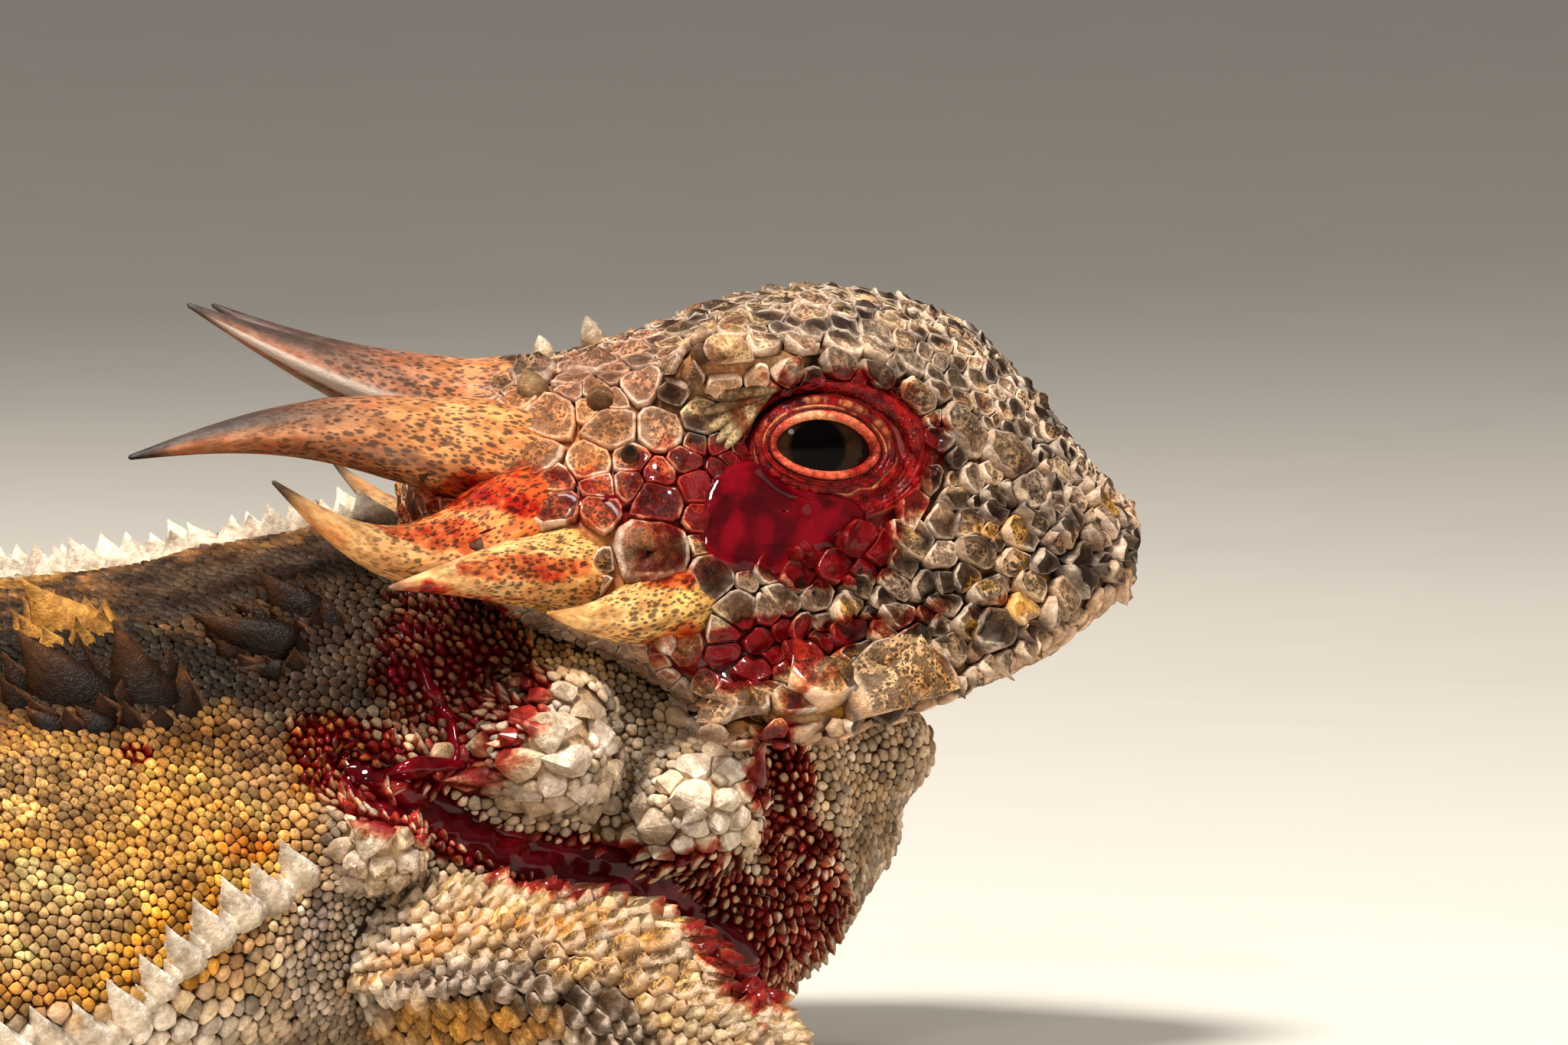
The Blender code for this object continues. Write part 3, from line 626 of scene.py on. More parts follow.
def tint_at(points, normals):
    """The animal's colour and how speckled it is, at each point."""
    x, y, z = points.T
    y = np.abs(y - midline(x))
    is_head, is_limb = kinds_of(points)
    half_width = looked_up(HALF_WIDTHS, x)
    share = y / half_width
    blotch = noise(points, 2.6, 5.0)
    fine = noise(points, 0.8, 1.7)
    broad = noise(points, 5.0, 2.2)
    up = normals[:, 2]
    # Trunk, neck and tail.
    gold = mixed(srgb(204, 142, 58), srgb(226, 182, 96), smooth(0.35, 0.7, fine))
    colour = mixed(gold, srgb(150, 102, 52), smooth(0.5, 0.75, blotch) * 0.6)
    band = smooth(0.1, 0.18, share) * smooth(0.8, 0.55, share) * smooth(3.5, 8, z)
    dusk = mixed(srgb(62, 42, 26), srgb(140, 96, 50), smooth(0.3, 0.75, fine))
    colour = mixed(colour, dusk, band * (0.35 + 0.65 * smooth(0.3, 0.6, blotch)))
    for row, (place, _) in enumerate(SPINE_ROWS):
        step = (x - SPINE_FRONT_X + SPINE_STEP / 2 * row) / SPINE_STEP
        away = np.hypot((step - np.round(step)) * SPINE_STEP - 0.6, (share - place) * half_width)
        dark = smooth(3.2, 1.6, away + (blotch - 0.5) * 2) * smooth(-36, -40, x) * smooth(-92, -88, x)
        colour = mixed(colour, srgb(44, 30, 19), dark * 0.95 * smooth(0.1, 0.4, up))
    vertebral = smooth(0.17, 0.1, share) * smooth(0.3, 0.6, up)
    colour = mixed(colour, srgb(222, 208, 188), vertebral * 0.9)
    colour = mixed(colour, srgb(222, 206, 184), smooth(3.8, 2.6, z))
    colour = mixed(colour, srgb(228, 216, 198), smooth(-0.1, -0.5, up))
    front = smooth(-31, -25, x) * smooth(14.5, 12.5, z)
    colour = mixed(colour, mixed(srgb(170, 146, 118), srgb(212, 192, 166), smooth(0.3, 0.6, fine)), front)
    tail = smooth(-84, -101, x + 6 * (blotch - 0.5)) * smooth(1.0, 2.2, z)
    rings = smooth(0.25, 0.75, np.sin((x + 5 * (broad - 0.5) + 2.5 * (fine - 0.5)) / 1.5) * 0.5 + 0.5)
    colour = mixed(colour, mixed(srgb(206, 182, 140), srgb(112, 84, 56), rings), tail)
    # Head.
    skull = mixed(srgb(156, 116, 84), srgb(214, 188, 154), smooth(0.3, 0.65, fine))
    skull = mixed(skull, srgb(66, 48, 38), smooth(0.46, 0.6, blotch) * 0.75)
    skull = mixed(skull, srgb(52, 38, 31), smooth(0.5, 0.6, noise(points, 0.6, 4.4)) * 0.8)
    skull = mixed(skull, srgb(226, 200, 162), smooth(0.62, 0.72, noise(points, 0.45, 8.8)) * 0.7)
    rear = smooth(-15, -18, x) * smooth(23, 21, z)
    skull = mixed(skull, mixed(srgb(206, 168, 112), srgb(206, 142, 82), smooth(0.4, 0.6, blotch)), rear)
    below = smooth(-0.25, -0.6, up)
    skull = mixed(skull, srgb(208, 190, 164), below)
    colour = mixed(colour, skull, is_head)
    # Limbs.
    limb = mixed(srgb(184, 152, 110), srgb(222, 196, 152), smooth(0.35, 0.65, fine))
    limb = mixed(limb, srgb(206, 164, 92), smooth(0.5, 0.72, blotch) * 0.6)
    limb = mixed(limb, srgb(98, 78, 58), smooth(0.52, 0.68, broad) * smooth(-0.1, 0.5, up) * 0.8)
    limb = mixed(limb, srgb(226, 212, 190), smooth(-0.1, -0.6, up))
    colour = mixed(colour, limb, is_limb)
    speckle = 0.3 * band + is_head * (0.8 - 0.6 * below) + is_limb * 0.45 * smooth(-0.1, 0.5, up)
    colour, speckle = patched(points, colour, np.clip(speckle, 0, 1))
    # Mottling over all of it but the belly.
    colour = mixed(colour, colour * np.array((1.1, 0.92, 0.9)), is_head)
    on_trunk = (1 - is_head) * np.maximum((1 - is_limb) * smooth(3.0, 5.0, z) * smooth(-22.5, -26.5, x),
                                          is_limb * smooth(-0.6, -0.2, up))
    broken = smooth(0.48, 0.62, two_noises(points, (1.2, 6.1), (0.5, 3.3)))
    colour = mixed(colour, colour * np.array((0.36, 0.34, 0.42)), on_trunk * broken * 0.65)
    bright = smooth(0.56, 0.68, noise(points, 0.6, 2.2)) * smooth(0.05, 0.2, colour[:, 0])
    colour = mixed(colour, np.minimum(colour * 1.5 + 0.02, 0.9), on_trunk * bright * 0.7)
    face = is_head * smooth(-17, -14, x) * (1 - below)
    sooty = smooth(0.5, 0.58, two_noises(points, (0.7, 4.4), (0.28, 1.3), 0.55))
    colour = mixed(colour, colour * np.array((0.26, 0.2, 0.16)), face * sooty * 0.85)
    cream = smooth(0.64, 0.72, noise(points, 0.42, 8.8))
    colour = mixed(colour, srgb(228, 196, 150), face * cream * 0.7)
    # The muzzle has dark and bony streaks, and a few yellow scales.
    muzzle = face * smooth(-13.5, -9.5, x)
    layered = noise(points * np.array((0.5, 0.8, 1.7)), 0.75, 12.1)
    colour = mixed(colour, srgb(38, 28, 24), muzzle * smooth(0.52, 0.6, layered) * 0.85)
    colour = mixed(colour, srgb(228, 200, 170), muzzle * smooth(0.43, 0.35, layered) * 0.65)
    yellow = smooth(0.73, 0.77, noise(points, 0.8, 3.7)) * smooth(20, 18, z)
    return mixed(colour, srgb(240, 182, 88), muzzle * yellow * 0.85), speckle


# ---------------------------------------------------------------- the skin
def skin_mesh():
    """The one skin under the whole coat, as a mesh of quads."""
    shape = np.ceil((FIELD_HIGH - FIELD_LOW) / SKIN_VOXEL).astype(int)
    axes = [FIELD_LOW[a] + SKIN_VOXEL * np.arange(shape[a]) for a in range(3)]
    grid = np.stack(np.meshgrid(*axes, indexing="ij"), axis=-1).reshape(-1, 3)
    values = body.at(grid).reshape(shape).astype(np.float32)
    level = openvdb.FloatGrid(3.0)
    level.transform = openvdb.createLinearTransform(voxelSize=SKIN_VOXEL)
    level.copyFromArray(values)
    points, _, quads = level.convertToPolygons(isovalue=-COAT_DEPTH, adaptivity=0)
    points = points.astype(float) + FIELD_LOW
    points = body.onto(points, -COAT_DEPTH, rounds=2)
    points[:, 2] = np.maximum(points[:, 2], 0.05)
    return points, quads.astype(int)


skin_points, skin_quads = skin_mesh()
skin_normals = body.normal(skin_points)
skin = make_mesh("skin", skin_points, quads=skin_quads)


def unwrapped(obj):
    """Unwraps obj by the shape of its own surface, as the map that baking uses."""
    layer = obj.data.uv_layers.new(name="OFBake")
    obj.data.uv_layers.active = layer
    bpy.context.view_layer.objects.active = obj
    obj.select_set(True)
    bpy.ops.object.mode_set(mode="EDIT")
    bpy.ops.mesh.select_all(action="SELECT")
    bpy.ops.uv.smart_project(angle_limit=math.radians(60), island_margin=0.002)
    bpy.ops.object.mode_set(mode="OBJECT")
    obj.select_set(False)


unwrapped(skin)


class Unwrap:
    """Where points near the skin lie on its unwrap."""

    def __init__(self, obj):
        mesh = obj.data
        count = len(mesh.polygons)
        uv = np.zeros(len(mesh.loops) * 2, np.float32)
        mesh.uv_layers["OFBake"].uv.foreach_get("vector", uv)
        corners = np.zeros(len(mesh.loops), np.int32)
        mesh.loops.foreach_get("vertex_index", corners)
        starts = np.zeros(count, np.int32)
        mesh.polygons.foreach_get("loop_start", starts)
        uv = uv.reshape(-1, 2)
        pick = starts[:, None] + np.arange(3)
        spots = skin_points[corners[pick]]
        places = uv[pick]
        self.centre = spots.mean(axis=1)
        self.place = places.mean(axis=1)
        edges = spots[:, 1:] - spots[:, :1]
        turns = places[:, 1:] - places[:, :1]
        gram = np.einsum("nij,nkj->nik", edges, edges) + np.eye(2) * 1e-9
        self.jacobian = np.einsum("nia,nij,njb->nab", turns, np.linalg.inv(gram), edges)
        self.tree = tree_of(self.centre)

    def nearest(self, points):
        """The face of the skin nearest to each point."""
        return np.array([self.tree.find(p)[1] for p in points])

    def turned(self, faces, ways):
        """Ways near some faces, as ways on the unwrap."""
        return np.einsum("nab,nb->na", self.jacobian[faces], ways)


unwrap = Unwrap(skin)


def horn_line(side, base, tip, bow, share):
    """Points along a horn's axis."""
    root, end = flipped(np.array(base), side), flipped(np.array(tip), side)
    share = np.asarray(share)[:, None]
    return root + (end - root) * share + np.array((0, 0, bow)) * np.sin(math.pi * share)


def inside_horns(points, margin):
    """Whether each point lies in the reach of a horn's shaft."""
    hit = np.zeros(len(points), bool)
    shares = np.linspace(0.1, 1, 19)
    for side in SIDES.values():
        for _, base, tip, bow, radius in HORNS:
            axis = horn_line(side, base, tip, bow, shares)
            reach = radius * looked_up(HORN_TAPER, shares) + margin
            for spot, limit in zip(axis, reach):
                hit |= np.linalg.norm(points - spot, axis=1) < limit
    return hit


# ---------------------------------------------------------------- where the scales grow
# Large plates of the right side: x and y in the frame, and half width in millimetres.
HEAD_PLATES = (
    (587, 593, 1.2), (691, 601, 0.95), (580, 630, 0.6), (657, 654, 0.95), (728, 667, 0.75),
    (781, 669, 0.62), (857, 655, 0.85), (724, 630, 0.55), (782, 638, 0.5), (822, 636, 0.5),
    (861, 621, 0.5), (770, 605, 0.65), (745, 706, 0.85), (855, 722, 1.15),
    (889, 770, 0.45), (927, 756, 0.8), (883, 815, 1.05), (790, 790, 1.15), (640, 560, 0.9),
    (560, 540, 0.9), (720, 545, 0.9), (800, 560, 0.8), (860, 560, 0.7), (700, 490, 0.8),
    (780, 480, 0.9), (840, 500, 0.8), (948, 462, 1.2), (879, 511, 0.6), (1028, 482, 0.7),
    (1094, 474, 0.72), (1146, 492, 0.6), (1198, 522, 0.7), (1254, 562, 1.05), (1312, 596, 1.0),
    (1346, 646, 0.75), (903, 486, 0.5), (946, 500, 0.55), (990, 494, 0.45), (960, 800, 0.75),
    (1020, 790, 0.65), (1090, 740, 0.6), (1120, 765, 0.6), (1165, 765, 0.75), (1230, 760, 0.6),
    (1110, 790, 0.55), (970, 919, 1.25), (1089, 902, 1.3), (1195, 868, 1.25), (1297, 825, 1.1),
    (1385, 790, 0.8),
)
# Rosettes of pointed scales on the neck and shoulder.
NECK_PLATES = (
    (721, 954, 0.85), (773, 928, 0.7), (706, 912, 0.4), (675, 998, 0.8), (749, 991, 0.92),
    (793, 974, 0.5), (797, 1003, 0.45), (762, 1035, 0.5), (723, 1026, 0.5), (688, 1036, 0.42),
    (735, 1048, 0.4), (802, 948, 0.4), (609, 1011, 0.6), (645, 1030, 0.45), (587, 985, 0.5),
    (631, 972, 0.5), (790, 1026, 0.4), (683, 938, 0.45), (667, 962, 0.4), (740, 904, 0.42),
    (801, 1052, 0.35), (774, 1062, 0.38), (706, 1056, 0.38), (664, 1048, 0.38),
    (907, 1042, 0.92), (859, 1081, 0.75), (957, 1007, 0.6), (951, 1046, 0.52), (909, 998, 0.5),
    (876, 1022, 0.45), (942, 1073, 0.42), (911, 1080, 0.45), (975, 1032, 0.4), (966, 1068, 0.4),
    (982, 1088, 0.36), (824, 1094, 0.5), (840, 1052, 0.42), (894, 1104, 0.4), (924, 1103, 0.36),
    (954, 1099, 0.36), (868, 1114, 0.36), (937, 980, 0.4), (980, 1004, 0.36),
    (490, 1095, 0.92), (467, 1130, 0.55), (500, 1133, 0.5), (538, 1124, 0.5), (530, 1094, 0.45),
    (463, 1153, 0.4), (492, 1156, 0.4), (522, 1150, 0.4), (444, 1112, 0.42), (552, 1146, 0.38),
)


def mirrored_pair(rows):
    """The points of placed scales on the right side and their mirror images on the left."""
    rows = np.array(rows, float)
    right = seen_at(rows[:, :2])
    left = body.onto(flipped(right, -1), 0.0)
    return np.concatenate((right, left)), np.concatenate((rows[:, 2], rows[:, 2]))


# Rows of scales along the lips: height over the mouth, step and half width.
LIP_ROWS = ((0.44, 1.35, 0.52), (-0.44, 1.55, 0.56), (1.22, 1.4, 0.54), (-1.24, 1.6, 0.6))


def lip_rows():
    """Seeds in rows along both sides of the mouth."""
    spots, sizes = [], []
    for rise, step, size in LIP_ROWS:
        xs = np.arange(0.0, -14.6, -step) - (0.6 if abs(rise) > 1 else 0)
        for side in SIDES.values():
            shaken = noise(np.stack((xs, xs * 0 + rise * 5, xs * 0), axis=1), 0.8) - 0.5
            xs = xs + shaken * 0.7
            height = mouth_z(xs) + rise + shaken * 0.2
            start = np.stack((xs, np.full(len(xs), side * 14.0), height), axis=1)
            for _ in range(60):
                start[:, 1] -= side * np.clip(body.at(start), -0.5, 1.5)
            good = np.abs(body.at(start)) < 0.05
            spots.append(start[good])
            sizes.append(np.full(good.sum(), size))
    return np.concatenate(spots), np.concatenate(sizes)


def pitch_at(points, normals):
    """The distance between neighbouring scales at each point."""
    x, y, z = points.T
    side_y = np.abs(y)
    is_head, is_limb = kinds_of(points)
    up = normals[:, 2]
    # Trunk and tail.
    near_side = smooth(2, -2, y)
    pitch = 0.76 + 0.1 * smooth(0.1, -0.6, up)
    pitch = pitch + (0.38 - pitch) * smooth(-44, -38, x) * smooth(-0.3, 0.1, up) * near_side
    pitch = pitch + (0.5 - 0.1 * near_side - pitch) * smooth(-31, -26, x)
    pitch *= 1 - 0.35 * smooth(-100, -130, x)
    # Head.
    skull = 0.94 - 0.26 * smooth(-8, -4, x)
    skull = skull + (0.62 - skull) * smooth(-0.3, -0.6, up)
    skull = skull + (0.8 - skull) * smooth(2.2, 1.2, np.abs(z - mouth_z(x))) * smooth(-15, -14, x)
    orbit = np.hypot((x - ORBIT[0]) / 3.5, (z - ORBIT[2]) / 2.6)
    skull = skull + (0.4 - skull) * smooth(1.0, 0.85, orbit) * smooth(5, 6, side_y)
    pitch = pitch + (skull - pitch) * is_head
    # Limbs.
    reach = np.where(x > -45, side_y - 24, side_y - 27)
    limb = 0.86 - 0.2 * smooth(0.1, -0.4, up) - 0.25 * smooth(0, 4, reach)
    upper_arm = smooth(-45, -40, x) * smooth(2, -2, y) * smooth(0.5, -0.5, reach)
    limb += (0.72 + 0.4 * smooth(-19, -15, x) - limb) * upper_arm
    return pitch + (limb - pitch) * is_limb


def sown():
    """Random seeds over the skin, as dense as the pitch asks, in the points of a loose packing."""
    corners = skin_points[skin_quads]
    a, b, c, d = (corners[:, k] for k in range(4))
    area = 0.5 * np.linalg.norm(np.cross(c - a, d - b), axis=1)
    centres = corners.mean(axis=1)
    normals = body.normal(centres)
    pitch = pitch_at(centres, normals)
    expected = area / (0.866 * pitch ** 2)
    pick = np.repeat(np.arange(len(area)), (expected + rng.random(len(area))).astype(int))
    u, v = rng.random((2, len(pick), 1))
    spots = (a[pick] * (1 - u) * (1 - v) + b[pick] * u * (1 - v) + c[pick] * u * v + d[pick] * (1 - u) * v)
    return body.onto(spots, 0.0)


def flow_at(points):
    """The way that the coat lies: backwards on the body, along the mouth, down along the limbs."""
    is_head, is_limb = kinds_of(points)
    side = np.sign(points[:, 1])
    arm = points[:, 0] > -45
    along = np.stack((np.where(arm, 0.75, 0.1), side * np.where(arm, 0.5, 0.9),
                      np.where(arm, -0.45, -0.2)), axis=1)
    ways = np.stack((-np.ones(len(points)), np.zeros(len(points)), -0.27 * is_head), axis=1)
    return unit(ways + (along - ways) * is_limb[:, None])


def stretch_at(points):
    """How much longer than wide the scales are, along the way that they lie."""
    is_head, is_limb = kinds_of(points)
    muzzle = smooth(-14, -10, points[:, 0]) * smooth(21.5, 19, points[:, 2])
    return 1 + 1.7 * muzzle * smooth(1.5, 3.0, np.abs(points[:, 1])) * is_head + 0.7 * is_limb


def neighbours(points, count):
    """The numbers of the points that lie nearest to each point."""
    tree = tree_of(points)
    return np.array([[hit[1] for hit in tree.find_n(p, count + 1)][1:] for p in points])


def settled(points, fixed, uneven, rounds):
    """Pushes crowded seeds apart over the surface; fixed holds the half widths of placed ones."""
    count = len(fixed)
    for _ in range(rounds):
        normals = body.normal(points)
        half = pitch_at(points, normals) / 2 * uneven
        half[:count] = fixed
        lie = flow_at(points)[:, None]
        slim = np.sqrt(stretch_at(points))[:, None, None]
        near = neighbours(points, 8)
        gap = points[:, None] - points[near]
        along = lie * np.sum(gap * lie, axis=2, keepdims=True)
        gap = (gap - along) * slim + along / slim
        distance = np.linalg.norm(gap, axis=2)
        wanted = (half[:, None] + half[near]) * 1.02
        push = np.clip(wanted - distance, 0, None) * 0.42
        push = push * np.where(near < count, 1.8, 1.0)
        move = gap / np.maximum(distance, 1e-6)[..., None] * push[..., None]
        along = lie * np.sum(move * lie, axis=2, keepdims=True)
        move = ((move - along) / slim + along * slim).sum(axis=1)
        size = np.linalg.norm(move, axis=1, keepdims=True)
        move *= np.minimum(1, 0.6 * half[:, None] / np.maximum(size, 1e-9))
        move[:count] = 0
        points = body.onto(points + move, 0.0, rounds=2)
    return points


# The lids' outer edge and the pool of blood under the eye, in the frame. The pool's reach is
# given every 30 degrees from the front, upwards and round.
LID_CENTRE, LID_HALF = (1092, 590), (134, 95)
POOL_CENTRE = (1020, 672)
POOL_REACH = (118, 60, 40, 42, 84, 104, 108, 120, 94, 88, 62, 92)
# The lids and the pool lie farther than this from the middle plane, and are elsewhere out of reach.
SIDE_Y, OUT_OF_REACH = 4.5, 9.0


def lid_share(points):
    """How far out each point lies in the lids' patch, from 0 in the middle to 1 at its edge."""
    share = ellipse_share(frame_places(to_right(points)), *LID_CENTRE, *LID_HALF, 0)
    return np.where(np.abs(points[:, 1]) > SIDE_Y, share, OUT_OF_REACH)


def pool_reach(turns):
    """How far the pool reaches at each angle, with its corners slightly rounded."""
    knots = np.radians(np.arange(-1, 14) * 30.0)
    reach = np.array(POOL_REACH)[np.arange(-1, 14) % 12]
    fine, before, behind = (np.interp(turns + shift, knots, reach) for shift in (0, -0.12, 0.12))
    return (fine + (before + behind) / 2) / 2


def pool_share(points):
    """How far out each point of the right side lies in the pool of blood."""
    px, py = frame_places(points).T
    across, rise = px - POOL_CENTRE[0], POOL_CENTRE[1] - py
    turns = np.arctan2(rise, across) % (2 * math.pi)
    share = np.hypot(across, rise) / pool_reach(turns)
    return np.where(points[:, 1] < -SIDE_Y, share, OUT_OF_REACH)


lip_spots, lip_sizes = lip_rows()
head_spots, head_sizes = mirrored_pair(HEAD_PLATES)
neck_spots, neck_sizes = mirrored_pair(NECK_PLATES)
fixed_spots = np.concatenate((head_spots, neck_spots, lip_spots))
fixed_sizes = np.concatenate((head_sizes, neck_sizes, lip_sizes))
loose = sown()
fixed_tree = tree_of(fixed_spots)
nearest = [fixed_tree.find(p) for p in loose]
clear = np.array([hit[2] > 0.8 * fixed_sizes[hit[1]] + 0.25 for hit in nearest])
loose = loose[clear]
loose = loose[~inside_horns(loose, 0.1)]
seeds = np.concatenate((fixed_spots, loose))
is_head, _ = kinds_of(seeds)
uneven = 1 + (rng.random(len(seeds)) - 0.45) * (0.4 + 0.5 * is_head)
seeds = settled(seeds, fixed_sizes, uneven, rounds=13)
normals = body.normal(seeds)
half = pitch_at(seeds, normals) / 2 * uneven
half[:len(fixed_sizes)] = fixed_sizes
keep = (lid_share(seeds) > 0.93) & (pool_share(seeds) > 0.8) & ~inside_horns(seeds, 0.05)

# ---------------------------------------------------------------- scale shapes
# Rings of a scale from its foot to its middle: share of the outline, height and paleness.
PLATE_RINGS = ((1.0, -0.8, 1.0), (0.975, 0.75, 1.0), (0.91, 1.0, 1.0), (0.81, 0.8, 0.15), (0.42, 0.92, 0.0))
LEFT_RINGS = ((1.0, -0.8, 1.0), (0.96, 0.8, 1.0), (0.84, 0.85, 0.3), (0.4, 0.9, 0.0))
GRANULE_RINGS = ((1.0, -0.7, 0.9), (0.95, 0.35, 0.7), (0.62, 0.84, 0.1))
KEEL_RINGS = ((1.0, -0.7, 1.0), (0.95, 0.35, 0.9), (0.74, 0.55, 0.15), (0.36, 0.78, 0.0))
PYRAMID_RINGS = ((1.0, -0.8, 0.6), (0.95, 0.15, 0.7), (0.1, 0.96, 0.0))
SMALL_RINGS = ((1.0, -0.7, 0.8), (0.8, 0.45, 0.3))
TOP_RING = (0.0, 1.04, 0.0)
near_index = neighbours(seeds, 15)


def outlines(chosen, count, turn, sharp, widest):
    """The distance from each chosen seed to its cell's edge, at count angles."""
    root, n = seeds[chosen], normals[chosen]
    e1 = unit(turn - n * np.sum(turn * n, axis=1, keepdims=True))
    e2 = np.cross(n, e1)
    angles = turns_round(count)
    near = near_index[chosen]
    gap = seeds[near] - root[:, None]
    du = np.einsum("mkj,mj->mk", gap, e1)
    dv = np.einsum("mkj,mj->mk", gap, e2)
    facing = np.einsum("mkj,mj->mk", normals[near], n)
    distance = np.hypot(du, dv)
    bearing = np.arctan2(dv, du)
    share = half[chosen][:, None] / (half[chosen][:, None] + half[near])
    c = np.cos(angles[None, None] - bearing[..., None])
    edge = np.where((c > 0.08) & (facing[..., None] > -0.2),
                    (share * distance)[..., None] / np.maximum(c, 0.08), 1e3)
    limit = (widest * half[chosen] * stretch_at(root) ** 0.5)[:, None, None] + np.zeros((1, 1, count))
    edge = np.concatenate((edge, limit), axis=1)
    radius = (np.maximum(edge, 0.02) ** -sharp).sum(axis=1) ** (-1 / sharp)
    return root, n, e1, e2, angles, radius


def scale_mesh(name, chosen, count, rings, height, gap, conform, point=0.0, keel=0.0, tilt=0.0,
               dome=0.0, rough=0.0, sharp=9.0, widest=1.25, peak=0.0):
    """One object that holds a closed scale for each chosen seed."""
    chosen = np.asarray(chosen)
    m = len(chosen)
    zero = np.zeros(m)
    point, keel, tilt, dome, peak = (zero + value for value in (point, keel, tilt, dome, peak))
    root, n, e1, e2, angles, radius = outlines(chosen, count, flow_at(seeds[chosen]), sharp, widest)
    radius = np.maximum(radius - gap / 2, 0.3 * radius)
    lead = np.clip(np.cos(angles), 0, 1) ** 3
    radius = radius * (1 + point[:, None] * lead)
    shares = np.array(rings)[:, 0]
    reach = radius[:, None] * shares[None, :, None]
    u, v = (np.concatenate(((reach * wave).reshape(m, -1), zero[:, None]), axis=1)
            for wave in (np.cos(angles), np.sin(angles)))
    inner, lift, pale = np.concatenate((np.repeat(rings, count, axis=0), (TOP_RING,))).T
    mean = radius.mean(axis=1)[:, None]
    along, across = u / mean, v / mean
    rise = np.where(lift > 0, 1, 0) * (
        tilt[:, None] * np.clip(along + 0.4, 0, None)
        + keel[:, None] * np.exp(-(across / 0.22) ** 2) * smooth(-0.9, 0.5, along))
    h = (lift[None] + rise) * height[:, None] + dome[:, None] * (1 - inner[None] ** 2)
    u = u + peak[:, None] * (1 - inner[None]) * mean
    spots = root[:, None] + u[..., None] * e1[:, None] + v[..., None] * e2[:, None]
    flat = spots.reshape(-1, 3)
    h = h * (1 + rough * (noise(flat, 0.32, 5.5).reshape(h.shape) - 0.5) * (lift > 0))
    if conform:
        flat = body.onto(flat, 0.0, rounds=2)
        way = body.normal(flat)
        way = unit(way + np.repeat(n, u.shape[1], axis=0) * 0.6)
    else:
        way = np.repeat(n, u.shape[1], axis=0)
    flat = flat + way * h.reshape(-1, 1)
    flat[:, 2] = np.maximum(flat[:, 2], 0.0)
    size = count * len(rings) + 1
    k = np.arange(count)
    quads = grid_quads(len(rings), count)[:, TURNED_QUAD]
    foot = np.stack((np.zeros(count - 2, int), k[2:], k[1:-1]), axis=1)
    triangles = np.concatenate((capped(size - 1 - count + k, size - 1), foot))
    starts = (np.arange(m) * size)[:, None, None]
    obj = make_mesh(name, flat, (quads[None] + starts).reshape(-1, 4),
                    (triangles[None] + starts).reshape(-1, 3))
    return obj, flat, np.repeat(chosen, size), np.tile(pale, m), u.ravel(), v.ravel(), e1, e2, size


per_seed = rng.random((len(seeds), 3))


def coat_piece(name, chosen, material, clean_tips=0.0, spread=0.5, **shape):
    """Scales with their colours and their places on the skin's unwrap."""
    obj, flat, owner, pale, u, v, e1, e2, size = scale_mesh(name, chosen, **shape)
    chosen = np.asarray(chosen)
    normal = normals[owner]
    tint, speckle = tint_at(seeds[owner] * 0.5 + flat * 0.5, normal)
    vary = per_seed[owner]
    tint = tint * (1 - spread / 2 + spread * vary[:, :1])
    tint = tint * (1 + (vary[:, 1:2] - 0.5) * np.array((0.12, 0.0, -0.24)))
    wiped = clean_tips * (1 - pale) * vary[:, 2] ** 0.8
    blood = blood_at(flat) * np.clip(1 - wiped, 0, 1)
    paint(obj, "Tint", tint)
    paint(obj, "Marks", marks(pale, blood, speckle))
    face = unwrap.nearest(seeds[chosen])
    centre = unwrap.place[face] + unwrap.turned(face, seeds[chosen] - unwrap.centre[face])
    du, dv = unwrap.turned(face, e1), unwrap.turned(face, e2)
    stretch = np.minimum(1, 2.2 * PATCH / np.maximum(np.linalg.norm(du, axis=1), 1e-9) / half[chosen])
    centre, du, dv = (np.repeat(each, size, axis=0)
                      for each in (centre, du * stretch[:, None], dv * stretch[:, None]))
    bake_map(obj, centre + du * u[:, None] + dv * v[:, None])
    return finished(obj, material, "lizard_skin")


